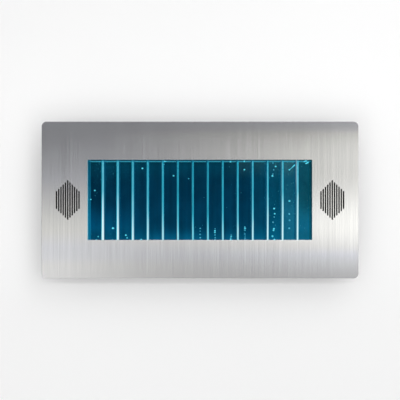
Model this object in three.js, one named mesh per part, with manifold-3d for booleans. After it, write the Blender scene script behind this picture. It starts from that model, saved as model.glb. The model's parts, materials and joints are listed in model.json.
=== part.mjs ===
// A wall-hung bubble panel: fifteen water channels behind a brushed steel face plate, lit from
// below, with an air pump, two oval loudspeakers and their electronics in a shallow steel box.
// Millimetres, +Z up. The wall is the plane y = 0 and the face looks along -Y. Depths are
// distances forward from the wall, so a depth d lies at y = -d.

import * as THREE from "three";
import { mergeVertices } from "three/addons/utils/BufferGeometryUtils.js";
import Module from "manifold-3d";

// Clearances shared by all pieces
const fitGap = 0.3; // between pieces that are screwed, hung or set together
const glueGap = 0.1; // in a bonded acrylic joint
const boreGap = 0.3; // radial, round anything that passes through a hole
const overrun = 2; // how far a cutting tool runs past the face it cuts
const weldDistance = 0.0001; // vertices closer than this are one vertex

// Face plate, a flat brushed stainless sheet
const plateWidth = 800;
const plateHeight = 396;
const plateThickness = 2;
const plateCornerRadius = 12;
const plateSide = 117; // left and right of the window
const plateBand = 97; // above and below the window
const windowCornerRadius = 1.5;
const windowLap = 2; // the plate covers this much of each end channel

// Headed studs welded behind the plate, which hang in keyholes of the front frame
const studInset = 100; // from the plate's side
const studDrop = 58; // from its top and bottom edges
const studCollarRadius = 9;
const studShankRadius = 3;
const studHeadRadius = 6;
const studHeadThickness = 2;
const studChamfer = 0.8;
const studRoot = 0.5; // how deep the weld runs into the plate
const coverLift = 12; // upward travel that frees the studs

// Slotted grilles in front of the loudspeakers
const slotCount = 11;
const slotPitch = 5.7;
const slotWidth = 3;
const slotLongest = 100;
const slotStep = 11; // each slot is this much shorter than its inner neighbour
const grilleInset = 66; // from the plate's side to the middle slot
const clothMargin = 3;
const clothThickness = 0.8;
const clothCornerRadius = 6;

// Tank of clear acrylic, with a dark blue rear pane
const channelCount = 15;
const channelDepth = 51;
const dividerThickness = 3;
const dividerDrop = 9; // from the lid to the dividers' top edges
const notchDepth = 10; // water passage at each divider's lower rear corner
const notchHeight = 6;
const paneThickness = 5;
const paneLap = 8; // the panes run this far past the end walls
const endThickness = 5;
const baseThickness = 5;
const lidThickness = 5;
const lidVentRadius = 2;
const lidVentSpacing = 228;
const plenumHeight = 8; // air space under the manifold plate
const manifoldThickness = 4;
const jetRadius = 1;

// Front frame and the foam gasket that it presses on the tank
const frameThickness = 1.5;
const frameInset = 1; // inside the box's outline
const frameReveal = 4; // its opening is this much larger than the window on each side
const gasketThickness = 2;
const gasketWidth = 9;
const gasketInset = 0.5;

// Steel box
const sheetThickness = 1.2;
const traySideInset = 30; // inside the plate's sides
const trayEndInset = 23; // inside the plate's top and bottom edges
const trayCornerRadius = 8;
const upperBay = 55; // from the box's top down to the tank
const lowerBay = 51; // from the tank down to the box's bottom
const lipWidth = 12; // folded lips along the top and bottom walls
const hangInset = 50; // wall keyholes, from the box's sides
const hangDrop = 27; // and from its top and bottom
const hangSlotWidth = 6.5;
const hangHeadRadius = 6.5;
const hangReach = 13;
const ventCount = 7; // cooling slots in one row
const ventPitch = 11;
const ventWidth = 3;
const ventLength = 30;
const ventInset = 110; // from the box's side to the middle of a row

// Bush in the conduit hole of the back
const bushInset = 80; // from the box's side
const bushDrop = 27; // from its top
const bushBoreRadius = 7;
const bushSleeveRadius = 9;
const bushFlangeRadius = 12;
const bushFlangeThickness = 2;

// Shelf under the tank, and the light bar that shines up through its slot
const shelfThickness = 1.5;
const shelfBackDrop = 26;
const shelfFrontDrop = 14;
const shelfSlotWidth = 11;
const ledChannelWidth = 18;
const ledChannelHeight = 11;
const ledChannelWall = 1.5;
const ledBoardWidth = 10;
const ledBoardThickness = 1;
const ledBoardShortfall = 4; // the board ends this far inside the channel
const ledSize = 5;
const ledHeight = 1.4;
const ledsPerChannel = 2;

// Filler neck on the lid, with its screw cap and loose seal
const fillerChannel = 9; // channel under the neck, counted from 0 at the left
const fillerBoreRadius = 9;
const fillerNeckRadius = 12;
const fillerFlangeRadius = 16;
const fillerFlangeThickness = 3;
const fillerStandOut = 11; // above the box
const fillerCapRadius = 16;
const fillerCapTop = 2.2;

// Drain spout, which passes through the air space, with its screw cap and loose seal
const drainChannel = 0;
const drainBoreRadius = 4;
const drainSpoutRadius = 6;
const drainFlangeRadius = 9;
const drainFlangeThickness = 2;
const drainSetback = 9; // from the rear pane to the spout's axis
const drainStandOut = 8; // below the box
const drainCapRadius = 10;
const drainCapTop = 2;

// Both screw caps
const sealThickness = 1.5;
const capClearance = 1; // between the box and the skirt's rim
const skirtGap = 0.5; // radial, taken up by the threads
const gripCount = 20;
const gripDepth = 0.8;

// The upper bay holds supply, board, filler and pump in a row, clear of the box's sides
const bayEnd = 92;

// Air pump: moulded base and case, laminated core, swinging lever and rubber bellows
const pumpHeight = 44;
const pumpDepth = 45;
const pumpCornerRadius = 6;
const pumpWall = 2;
const pumpFootHeight = 3;
const pumpFootRadius = 5;
const pumpFootInset = 9;
const pumpBaseThickness = 2.5;
const pumpAxisDepth = 20; // lever's middle, forward of the base
const pivotInset = 14; // from the case's outlet end
const pivotRadius = 3;
const pivotEyeRadius = 6;
const leverWidth = 10;
const leverThickness = 3;
const magnetLength = 10;
const magnetHeight = 14;
const magnetGap = 1.6;
const coreLength = 36;
const coreHeight = 34;
const coreDepth = 18;
const coreYoke = 8;
const coreLeg = 7;
const bobbinLength = 20;
const bobbinHeight = 17;
const bobbinDepth = 27;
const coreSeatLength = 7;
const chamberLength = 24;
const chamberGap = 2.1; // from the magnet
const chamberHeight = 9;
const chamberDepth = 33;
const bellowsReach = 22; // from the pivot to the bellows' axis
const bellowsRadius = 10;
const bellowsWaist = 8;
const bellowsHeight = 7;
const bellowsRecessRadius = 3.5;
const bellowsRecessDepth = 4.5;
const stemRadius = 2;
const stemLength = 4.4;
const barbRadius = 2;
const barbReach = 10; // past the case
const barbDepth = 13; // forward of the base
const pumpLeadHoleRadius = 2.6;

// Non-return valve between the two air tubes
const airTubeRadius = 3;
const valveInset = 40; // from the box's side
const valveDepth = 14;
const valveDrop = 67; // from the box's top to the valve's upper end
const valveLength = 30;
const valveBodyLength = 14;
const valveBodyRadius = 7;
const valveWaistRadius = 5;

// Power supply
const supplyLength = 130;
const supplyHeight = 42;
const supplyDepth = 30;
const supplyEdge = 3;
const supplyEar = 8;
const supplyEarThickness = 2;
const supplyEarHoleRadius = 2.2;

// Control and amplifier board
const boardLength = 80;
const boardHeight = 40;
const boardThickness = 1.6;
const standoffHeight = 6;
const standoffRadius = 3;
const standoffInset = 5;
const sinkLength = 34;
const sinkHeight = 22;
const sinkBase = 3;
const sinkDepth = 18;
const sinkFinCount = 6;
const sinkFinThickness = 1.6;
const capacitorRadius = 5;
const capacitorHeight = 16;
const capacitorSpacing = 13;
const chipSize = 14;
const chipHeight = 2;
const terminalLength = 9;
const terminalHeight = 30;
const terminalDepth = 10;
const componentRoot = 0.5; // how deep a component's legs run into the board

// Oval loudspeakers
const speakerMargin = 3.5; // all round the slotted field
const speakerFlange = 3.5;
const speakerFlangeThickness = 3;
const speakerCutMargin = 1.5; // the frame's oval hole round the longest slot
const basketDepth = 18;
const basketWall = 1.5;
const basketRearHalfWidth = 22;
const basketRearHalfHeight = 28;
const basketWindowCount = 4;
const basketWindowWidth = 24;
const basketWindowShare = 0.6;
const tabWidth = 8;
const tabHeight = 12;
const surroundWidth = 5;
const surroundThickness = 0.8;
const surroundRoll = 2;
const coneWall = 0.6;
const coneDepth = 11;
const coilRadius = 10.5;
const coilLength = 11;
const dustCapRise = 3;
const dustCapShare = 0.8; // its rise at half its radius
const poleRadius = 9.3;
const gapRadius = 11.5;
const topPlateRadius = 21;
const topPlateThickness = 4;
const magnetRadius = 23.5;
const magnetThickness = 10;
const backPlateThickness = 4;

// Leads, all round-section
const speakerLeadRadius = 1.6;
const ledLeadRadius = 1.4;
const pumpLeadRadius = 1.8;
const supplyLeadRadius = 1.8;

// Facets in a full turn
const ringSides = 20;
const cornerSides = 20;
const smallSides = 12;
const slotSides = 12;
const tubeSides = 8;
const leadSides = 6;
const jetSides = 6;

// Widths and heights that follow from the sizes above
const windowWidth = plateWidth - 2 * plateSide;
const windowHeight = plateHeight - 2 * plateBand;
const tankInnerWidth = windowWidth + 2 * windowLap;
const channelPitch = tankInnerWidth / channelCount;
const tankPaneWidth = tankInnerWidth + 2 * endThickness + 2 * paneLap;
const studX = plateWidth / 2 - studInset;
const studRise = plateHeight / 2 - studDrop;
const grilleX = plateWidth / 2 - grilleInset;
const grilleHalfWidth = ((slotCount - 1) * slotPitch + slotWidth) / 2;
const speakerHalfWidth = grilleHalfWidth + speakerMargin;
const speakerHalfHeight = slotLongest / 2 + speakerMargin;
const trayWidth = plateWidth - 2 * traySideInset;
const trayHeight = plateHeight - 2 * trayEndInset;
const trayInnerTop = trayHeight / 2 - sheetThickness;
const bushX = bushInset - trayWidth / 2;
const bushRise = trayHeight / 2 - bushDrop;
const tankRise = trayHeight / 2 - upperBay;
const tankDrop = trayHeight / 2 - lowerBay;
const dividerRise = tankRise - lidThickness - dividerDrop;
const bayMiddle = (tankRise + trayInnerTop) / 2;
const plenumMiddle = -tankDrop + baseThickness + plenumHeight / 2;
const manifoldBottom = plenumMiddle + plenumHeight / 2;
const manifoldTop = manifoldBottom + manifoldThickness;

// Depths from the wall forward
const seatDepth = sheetThickness + fitGap; // what is fastened to the back starts here
const rearPaneFront = seatDepth + paneThickness;
const frontPaneBack = rearPaneFront + channelDepth;
const frontPaneFront = frontPaneBack + paneThickness;
const gasketBack = frontPaneFront + fitGap;
const frameBack = gasketBack + gasketThickness + fitGap;
const frameFront = frameBack + frameThickness;
const coverGap = clothThickness + 2 * fitGap;
const plateBack = frameFront + coverGap;
const trayFront = frameBack - fitGap;
const channelMiddle = (rearPaneFront + frontPaneBack) / 2;
const shelfTop = -tankDrop - fitGap;
const shelfBottom = shelfTop - shelfThickness;

// Places across
const channelX = (n) => (n - (channelCount - 1) / 2) * channelPitch;
const between = (left, right) => (left + right) / 2;
const fillerX = channelX(fillerChannel);
const drainX = channelX(drainChannel);
const drainAxisDepth = rearPaneFront + drainSetback;
const bayLeft = bayEnd - trayWidth / 2;
const supplyX = bayLeft + supplyEar + supplyLength / 2;
const pumpLength =
  pumpWall +
  fitGap +
  coreLength +
  magnetGap +
  magnetLength +
  chamberGap +
  chamberLength / 2 +
  bellowsReach +
  pivotInset;
const boardX = between(supplyX + supplyLength / 2 + supplyEar, fillerX - fillerFlangeRadius);
const pumpX = between(fillerX + fillerFlangeRadius, -bayLeft);
const valveX = trayWidth / 2 - valveInset;
const valveTop = trayHeight / 2 - valveDrop;

// Places inside that more than one piece follows
const ledBoardBottom = shelfBottom - ledChannelHeight + ledChannelWall;
const pumpBaseFront = seatDepth + pumpFootHeight + pumpBaseThickness;
const pumpAxis = pumpBaseFront + pumpAxisDepth;
const pumpCaseFront = pumpBaseFront + fitGap + pumpDepth;
const chamberBottom = -pumpHeight / 2 + pumpWall + fitGap; // from the case's middle
const boardFront = seatDepth + standoffHeight + boardThickness;
const supplyFront = seatDepth + supplyDepth;
const speakerFlangeBack = frameBack - fitGap - speakerFlangeThickness;
const basketRear = speakerFlangeBack - basketDepth;

const wasm = await Module();
wasm.setup();

// The geometry with its vertices merged and its collapsed triangles left out, facing outwards.
function cleaned(geometry) {
  const loose = geometry.index ? geometry.toNonIndexed() : geometry;
  const bare = new THREE.BufferGeometry();
  bare.setAttribute("position", loose.getAttribute("position"));
  const merged = mergeVertices(bare, weldDistance);
  const position = merged.getAttribute("position");
  const corners = merged.index.array;
  const kept = [];
  const [a, b, c] = [new THREE.Vector3(), new THREE.Vector3(), new THREE.Vector3()];
  let volume = 0;
  for (let i = 0; i < corners.length; i += 3) {
    const [p, q, r] = [corners[i], corners[i + 1], corners[i + 2]];
    if (p === q || q === r || r === p) continue;
    kept.push(p, q, r);
    a.fromBufferAttribute(position, p);
    b.fromBufferAttribute(position, q);
    c.fromBufferAttribute(position, r);
    volume += a.dot(b.cross(c));
  }
  merged.setIndex(volume < 0 ? kept.reverse() : kept);
  return merged;
}

function solidOf(geometry) {
  const ready = cleaned(geometry);
  const mesh = new wasm.Mesh({
    numProp: 3,
    vertProperties: ready.getAttribute("position").array,
    triVerts: new Uint32Array(ready.index.array),
  });
  return new wasm.Manifold(mesh);
}

function geometryOf(solid) {
  const mesh = solid.getMesh();
  const geometry = new THREE.BufferGeometry();
  geometry.setAttribute("position", new THREE.BufferAttribute(mesh.vertProperties, 3));
  geometry.setIndex(new THREE.BufferAttribute(mesh.triVerts, 1));
  return geometry;
}

// base with every tool cut away
function cut(base, ...tools) {
  let solid = solidOf(base);
  for (const tool of tools) solid = solid.subtract(solidOf(tool));
  return geometryOf(solid);
}

// all pieces joined into one solid
function join(first, ...others) {
  let solid = solidOf(first);
  for (const other of others) solid = solid.add(solidOf(other));
  return geometryOf(solid);
}

// A box between two x places, two depths and two heights.
function block([left, right], [back, front], [bottom, top]) {
  const geometry = new THREE.BoxGeometry(right - left, front - back, top - bottom);
  return geometry.translate((left + right) / 2, -(back + front) / 2, (bottom + top) / 2);
}

const centred = (middle, length) => [middle - length / 2, middle + length / 2];

// Points of an arc about [x, z], from one angle to another.
function arc(x, z, radius, from, to, sides) {
  const turn = 2 * Math.PI;
  const steps = Math.max(1, Math.round((Math.abs(to - from) / turn) * sides));
  return Array.from({ length: steps + 1 }, (_, n) => {
    const angle = from + ((to - from) * n) / steps;
    return [x + radius * Math.cos(angle), z + radius * Math.sin(angle)];
  });
}

const circle = (x, z, radius, sides = ringSides) => arc(x, z, radius, 0, 2 * Math.PI, sides);

function roundedRectangle(width, height, radius, sides = cornerSides, x = 0, z = 0) {
  const right = x + width / 2 - radius;
  const left = x - width / 2 + radius;
  const top = z + height / 2 - radius;
  const bottom = z - height / 2 + radius;
  const quarter = Math.PI / 2;
  return [
    ...arc(right, bottom, radius, -quarter, 0, sides),
    ...arc(right, top, radius, 0, quarter, sides),
    ...arc(left, top, radius, quarter, 2 * quarter, sides),
    ...arc(left, bottom, radius, 2 * quarter, 3 * quarter, sides),
  ];
}

// A narrow slot that ends round at z, and opens into a head hole reach above or below it.
function keyhole(x, z, reach, halfSlot, headRadius) {
  const up = Math.sign(reach);
  const opening = Math.asin(halfSlot / headRadius);
  const from = up * (opening - Math.PI / 2);
  const to = from + up * 2 * (Math.PI - opening);
  return [
    ...arc(x, z + reach, headRadius, from, to, smallSides),
    ...arc(x, z, halfSlot, Math.PI, Math.PI + up * Math.PI, smallSides),
  ];
}

const vectors = (points) => points.map(([a, b]) => new THREE.Vector2(a, b));

function shapeOf(points, holes = []) {
  const shape = new THREE.Shape(vectors(points));
  shape.holes = holes.map((hole) => new THREE.Path(vectors(hole)));
  return shape;
}

const raised = (points, holes, depth) =>
  new THREE.ExtrudeGeometry(shapeOf(points, holes), { depth, bevelEnabled: false });

// An outline in x and z, raised forward from the depth back.
function facing(points, back, thickness, holes = []) {
  return raised(points, holes, thickness).rotateX(Math.PI / 2).translate(0, -back, 0);
}

// An outline in x and y, raised upwards from the height bottom.
function standing(points, bottom, height, holes = []) {
  return raised(points, holes, height).translate(0, 0, bottom);
}

// A section in y and z, run along x from left.
function running(points, left, length) {
  const turn = new THREE.Matrix4().makeBasis(
    new THREE.Vector3(0, 1, 0),
    new THREE.Vector3(0, 0, 1),
    new THREE.Vector3(1, 0, 0),
  );
  return raised(points, [], length).applyMatrix4(turn).translate(left, 0, 0);
}

// A profile of [radius, place along the axis], turned about z or, with depths, about y.
function turnedUp(profile, sides = ringSides) {
  const points = profile.map(([radius, height]) => new THREE.Vector2(radius, height));
  return cleaned(new THREE.LatheGeometry(points, sides).rotateX(Math.PI / 2));
}

function turnedForward(profile, sides = ringSides) {
  const points = profile.map(([radius, depth]) => new THREE.Vector2(radius, -depth));
  return cleaned(new THREE.LatheGeometry(points, sides));
}

function turnedAlong(profile, sides = ringSides) {
  const points = profile.map(([radius, along]) => new THREE.Vector2(radius, along));
  return cleaned(new THREE.LatheGeometry(points, sides).rotateZ(-Math.PI / 2));
}

const rod = (radius, from, to) => [[0, from], [radius, from], [radius, to], [0, to]];

// Rings of [half width, half height, depth] joined in order. A closed run ends where it starts,
// and an open one starts and ends on the axis.
function ovalLoft(rings, closed) {
  const positions = [];
  const index = [];
  for (const [halfWidth, halfHeight, depth] of rings) {
    for (let side = 0; side < ringSides; side += 1) {
      const angle = (2 * Math.PI * side) / ringSides;
      positions.push(halfWidth * Math.cos(angle), -depth, halfHeight * Math.sin(angle));
    }
  }
  const bands = closed ? rings.length : rings.length - 1;
  for (let band = 0; band < bands; band += 1) {
    const here = band * ringSides;
    const there = ((band + 1) % rings.length) * ringSides;
    for (let side = 0; side < ringSides; side += 1) {
      const next = (side + 1) % ringSides;
      index.push(here + side, here + next, there + next);
      index.push(here + side, there + next, there + side);
    }
  }
  const geometry = new THREE.BufferGeometry();
  geometry.setAttribute("position", new THREE.Float32BufferAttribute(positions, 3));
  geometry.setIndex(index);
  return cleaned(geometry);
}

function colour(hex, roughness, metalness, extra = {}) {
  return new THREE.MeshStandardMaterial({ color: hex, roughness, metalness, ...extra });
}

const brushedSteel = colour(0xb9b8b5, 0.32, 1);
const boxPaint = colour(0x3a3c3f, 0.55, 0.2);
const clearAcrylic = colour(0xcfeef5, 0.08, 0, { transparent: true, opacity: 0.35 });
const dividerAcrylic = colour(0x9fe6f2, 0.15, 0, { transparent: true, opacity: 0.7 });
const blueAcrylic = colour(0x02344c, 0.15, 0);
const blackFoam = colour(0x18191b, 0.95, 0);
const blackCloth = colour(0x121315, 1, 0);
const blackPlastic = colour(0x1d1e20, 0.45, 0);
const whitePlastic = colour(0xe4e4e0, 0.4, 0);
const greyRubber = colour(0x4b4d50, 0.85, 0);
const aluminium = colour(0xc6c8ca, 0.4, 1);
const boardGreen = colour(0x14553a, 0.5, 0.1);
const boardWhite = colour(0xeef4f4, 0.5, 0, { emissive: 0x39c9e8 });
const copperBrown = colour(0x8d4b26, 0.5, 0.6);
const magnetGrey = colour(0x55585c, 0.5, 0.7);
const conePaper = colour(0x202124, 0.9, 0);
const clearTube = colour(0xd8e4e6, 0.2, 0, { transparent: true, opacity: 0.6 });
const blackWire = colour(0x1a1a1c, 0.6, 0);

const panel = new THREE.Group();

function place(group, name, geometry, material) {
  const mesh = new THREE.Mesh(geometry, material);
  mesh.name = name;
  group.add(mesh);
  return mesh;
}

function groupAt(x, y, z) {
  const group = new THREE.Group();
  group.position.set(x, y, z);
  panel.add(group);
  return group;
}

// Upright slots in a row, longest in the middle.
function grilleSlots(x) {
  return Array.from({ length: slotCount }, (_, n) => {
    const fromMiddle = n - (slotCount - 1) / 2;
    const length = slotLongest - slotStep * Math.abs(fromMiddle);
    const slotX = x + fromMiddle * slotPitch;
    return roundedRectangle(slotWidth, length, slotWidth / 2, slotSides, slotX);
  });
}

function studGeometry(x, z) {
  const shoulder = plateBack - (coverGap - fitGap);
  const headFront = frameBack - fitGap;
  const headBack = headFront - studHeadThickness;
  const profile = [
    [0, plateBack + studRoot],
    [studCollarRadius, plateBack + studRoot],
    [studCollarRadius, shoulder],
    [studShankRadius, shoulder],
    [studShankRadius, headFront],
    [studHeadRadius, headFront],
    [studHeadRadius, headBack + studChamfer],
    [studHeadRadius - studChamfer, headBack],
    [0, headBack],
  ];
  return turnedForward(profile, smallSides).translate(x, 0, z);
}

function makeFacePlate() {
  const window = roundedRectangle(windowWidth, windowHeight, windowCornerRadius, smallSides);
  const holes = [window, ...grilleSlots(-grilleX), ...grilleSlots(grilleX)];
  const edge = roundedRectangle(plateWidth, plateHeight, plateCornerRadius, ringSides);
  const studs = [];
  for (const side of [-1, 1])
    for (const level of [-1, 1])
      studs.push(studGeometry(side * studX, level * studRise));
  const sheet = facing(edge, plateBack, plateThickness, holes);
  place(panel, "face_plate", join(sheet, ...studs), brushedSteel);
}

function makeGrilleCloth(name, side) {
  const width = 2 * (grilleHalfWidth + clothMargin);
  const height = slotLongest + 2 * clothMargin;
  const edge = roundedRectangle(width, height, clothCornerRadius, smallSides, side * grilleX);
  const back = plateBack - fitGap - clothThickness;
  place(panel, name, facing(edge, back, clothThickness), blackCloth);
}

function makeFrontFrame() {
  const inset = 2 * frameInset;
  const radius = trayCornerRadius - frameInset;
  const edge = roundedRectangle(trayWidth - inset, trayHeight - inset, radius);
  const openingWidth = windowWidth + 2 * frameReveal;
  const openingHeight = windowHeight + 2 * frameReveal;
  const holes = [roundedRectangle(openingWidth, openingHeight, windowCornerRadius, smallSides)];
  const studSlot = studShankRadius + fitGap;
  const studHole = studHeadRadius + 2 * boreGap;
  const halfWidth = grilleHalfWidth + speakerCutMargin;
  const halfHeight = slotLongest / 2 + speakerCutMargin;
  const oval = circle(0, 0, 1).map(([x, z]) => [x * halfWidth, z * halfHeight]);
  for (const side of [-1, 1]) {
    holes.push(oval.map(([x, z]) => [x + side * grilleX, z]));
    for (const level of [-1, 1])
      holes.push(keyhole(side * studX, level * studRise, coverLift, studSlot, studHole));
  }
  place(panel, "front_frame", facing(edge, frameBack, frameThickness, holes), boxPaint);
}

function makeGasket() {
  const innerWidth = windowWidth + 2 * (frameReveal + gasketInset);
  const innerHeight = windowHeight + 2 * (frameReveal + gasketInset);
  const corner = windowCornerRadius;
  const width = innerWidth + 2 * gasketWidth;
  const height = innerHeight + 2 * gasketWidth;
  const edge = roundedRectangle(width, height, corner, smallSides);
  const inside = roundedRectangle(innerWidth, innerHeight, corner, smallSides);
  place(panel, "tank_gasket", facing(edge, gasketBack, gasketThickness, [inside]), blackFoam);
}

function ventTools(level) {
  const tools = [];
  const wall = level * (trayHeight / 2 - sheetThickness / 2);
  const thickness = sheetThickness + 2 * overrun;
  for (const side of [-1, 1]) {
    for (let n = 0; n < ventCount; n += 1) {
      const x = side * (trayWidth / 2 - ventInset) + (n - (ventCount - 1) / 2) * ventPitch;
      const [across, up] = [centred(x, ventWidth), centred(wall, thickness)];
      tools.push(block(across, centred(channelMiddle, ventLength), up));
    }
  }
  return tools;
}

function makeBackBox() {
  const innerWidth = trayWidth - 2 * sheetThickness;
  const innerHeight = trayHeight - 2 * sheetThickness;
  const innerRadius = trayCornerRadius - sheetThickness;
  const edge = roundedRectangle(trayWidth, trayHeight, trayCornerRadius);
  const holes = [circle(bushX, bushRise, bushSleeveRadius + boreGap)];
  const hangX = trayWidth / 2 - hangInset;
  const hangRise = trayHeight / 2 - hangDrop;
  for (const side of [-1, 1])
    for (const level of [-1, 1])
      holes.push(
        keyhole(side * hangX, level * hangRise, -hangReach, hangSlotWidth / 2, hangHeadRadius),
      );
  const back = facing(edge, 0, sheetThickness, holes);
  const inside = roundedRectangle(innerWidth, innerHeight, innerRadius);
  const rim = facing(edge, 0, trayFront, [inside]);
  const mouth = roundedRectangle(innerWidth, trayHeight - 2 * lipWidth, sheetThickness, smallSides);
  const lip = facing(edge, trayFront - sheetThickness, sheetThickness, [mouth]);
  const fillerHole = turnedUp(
    rod(fillerNeckRadius + boreGap, trayInnerTop - overrun, trayHeight / 2 + overrun),
  ).translate(fillerX, -channelMiddle, 0);
  const drainHole = turnedUp(
    rod(drainSpoutRadius + boreGap, -trayHeight / 2 - overrun, -trayInnerTop + overrun),
    smallSides,
  ).translate(drainX, -drainAxisDepth, 0);
  const tools = [fillerHole, drainHole, ...ventTools(1), ...ventTools(-1)];
  place(panel, "back_box", cut(join(back, rim, lip), ...tools), boxPaint);
}

// The conduit bush: a flange inside the box and a sleeve that ends flush with the back.
function makeCableBush() {
  const flangeBack = seatDepth;
  const flangeFront = flangeBack + bushFlangeThickness;
  const profile = [
    [bushBoreRadius, 0],
    [bushSleeveRadius, 0],
    [bushSleeveRadius, flangeBack],
    [bushFlangeRadius, flangeBack],
    [bushFlangeRadius, flangeFront],
    [bushBoreRadius, flangeFront],
    [bushBoreRadius, 0],
  ];
  const bush = place(panel, "cable_bush", turnedForward(profile), blackPlastic);
  bush.position.set(bushX, 0, bushRise);
}

// The space between the panes that a bonded sheet fills.
const betweenPanes = [rearPaneFront + glueGap, frontPaneBack - glueGap];
const betweenEnds = [-tankInnerWidth / 2 + glueGap, tankInnerWidth / 2 - glueGap];

function makePanes() {
  const across = centred(0, tankPaneWidth);
  const up = [-tankDrop, tankRise];
  const rear = block(across, [seatDepth, rearPaneFront], up);
  const front = block(across, [frontPaneBack, frontPaneFront], up);
  place(panel, "tank_rear_pane", rear, blueAcrylic);
  place(panel, "tank_front_pane", front, clearAcrylic);
}

function makeEnds() {
  const inner = tankInnerWidth / 2;
  const up = [-tankDrop, tankRise];
  const left = block([-inner - endThickness, -inner], betweenPanes, up);
  const right = block([inner, inner + endThickness], betweenPanes, up);
  const wall = [inner - overrun, inner + endThickness + overrun];
  const inlet = turnedAlong(rod(airTubeRadius + boreGap, ...wall), smallSides);
  inlet.translate(0, -channelMiddle, plenumMiddle);
  place(panel, "tank_left_end", left, clearAcrylic);
  place(panel, "tank_right_end", cut(right, inlet), clearAcrylic);
}

// A sheet that fills the tank between its walls, with round holes of [x, depth, radius, facets].
function layer(bottom, thickness, holes) {
  const [left, right] = betweenEnds;
  const [back, front] = betweenPanes;
  const edge = [[left, -front], [right, -front], [right, -back], [left, -back]];
  const rings = holes.map(([x, depth, radius, sides]) => circle(x, -depth, radius, sides));
  return standing(edge, bottom, thickness, rings);
}

function makeLayers() {
  const drainHole = [drainX, drainAxisDepth, drainSpoutRadius + boreGap, smallSides];
  const jets = [];
  for (let n = 0; n < channelCount; n += 1)
    jets.push([channelX(n), channelMiddle, jetRadius, jetSides]);
  place(panel, "tank_base", layer(-tankDrop, baseThickness, [drainHole]), clearAcrylic);
  const manifold = layer(manifoldBottom, manifoldThickness, [drainHole, ...jets]);
  place(panel, "air_manifold", manifold, clearAcrylic);
  const vents = [-1, 1].map((side) => [
    (side * lidVentSpacing) / 2,
    channelMiddle,
    lidVentRadius,
    tubeSides,
  ]);
  const neckHole = [fillerX, channelMiddle, fillerNeckRadius + boreGap, ringSides];
  const lid = layer(tankRise - lidThickness, lidThickness, [neckHole, ...vents]);
  place(panel, "tank_lid", lid, clearAcrylic);
}

function makeDividers() {
  const [back, front] = betweenPanes;
  const bottom = manifoldTop + glueGap;
  const section = [
    [-front, bottom],
    [-back - notchDepth, bottom],
    [-back - notchDepth, bottom + notchHeight],
    [-back, bottom + notchHeight],
    [-back, dividerRise],
    [-front, dividerRise],
  ];
  for (let n = 1; n < channelCount; n += 1) {
    const x = channelX(n) - channelPitch / 2;
    const sheet = running(section, -dividerThickness / 2, dividerThickness);
    const name = "divider_" + String(n).padStart(2, "0");
    place(panel, name, sheet, dividerAcrylic).position.x = x;
  }
}

function makeShelf() {
  const [back, front] = [-seatDepth, -frontPaneFront];
  const section = [
    [back, shelfTop],
    [back, shelfTop - shelfBackDrop],
    [back - shelfThickness, shelfTop - shelfBackDrop],
    [back - shelfThickness, shelfBottom],
    [front + shelfThickness, shelfBottom],
    [front + shelfThickness, shelfTop - shelfFrontDrop],
    [front, shelfTop - shelfFrontDrop],
    [front, shelfTop],
  ];
  const width = tankInnerWidth + 2 * endThickness;
  const sheet = running(section, -width / 2, width);
  const through = [shelfBottom - overrun, shelfTop + overrun];
  const slotSpan = centred(0, tankInnerWidth - channelPitch / 2);
  const slot = block(slotSpan, centred(channelMiddle, shelfSlotWidth), through);
  const drainHole = turnedUp(rod(drainSpoutRadius + boreGap, ...through), smallSides);
  const shelf = cut(sheet, slot, drainHole.translate(drainX, -drainAxisDepth, 0));
  place(panel, "tank_shelf", shelf, boxPaint);
}

function makeLightBar() {
  const top = shelfBottom - fitGap;
  const floor = top - ledChannelHeight;
  const half = ledChannelWidth / 2;
  const inside = half - ledChannelWall;
  const section = [
    [-half, top],
    [-half, floor],
    [half, floor],
    [half, top],
    [inside, top],
    [inside, floor + ledChannelWall],
    [-inside, floor + ledChannelWall],
    [-inside, top],
  ];
  const bar = groupAt(0, -channelMiddle, 0);
  place(bar, "led_channel", running(section, -tankInnerWidth / 2, tankInnerWidth), aluminium);
  const boardTop = ledBoardBottom + ledBoardThickness;
  const boardSpan = centred(0, tankInnerWidth - 2 * ledBoardShortfall);
  const pieces = [block(boardSpan, centred(0, ledBoardWidth), [ledBoardBottom, boardTop])];
  const pitch = channelPitch / ledsPerChannel;
  const count = channelCount * ledsPerChannel;
  for (let n = 0; n < count; n += 1) {
    const x = (n - (count - 1) / 2) * pitch;
    const up = [ledBoardBottom, boardTop + ledHeight];
    pieces.push(block(centred(x, ledSize), centred(0, ledSize), up));
  }
  place(bar, "led_strip", join(...pieces), boardWhite);
}

// The closed outline of a cap with grip flutes.
function gripOutline(radius) {
  const points = [];
  for (let n = 0; n < 2 * gripCount; n += 1) {
    const angle = (Math.PI * n) / gripCount;
    const reach = n % 2 ? radius : radius - gripDepth;
    points.push([reach * Math.cos(angle), reach * Math.sin(angle)]);
  }
  return points;
}

// A screw cap that closes upwards at the height end: its rim is at the height rim.
function capGeometry(radius, boreRadius, rim, end, top) {
  const body = standing(gripOutline(radius), rim, end - rim);
  return cut(body, turnedUp(rod(boreRadius, rim - overrun, end - top)));
}

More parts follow.
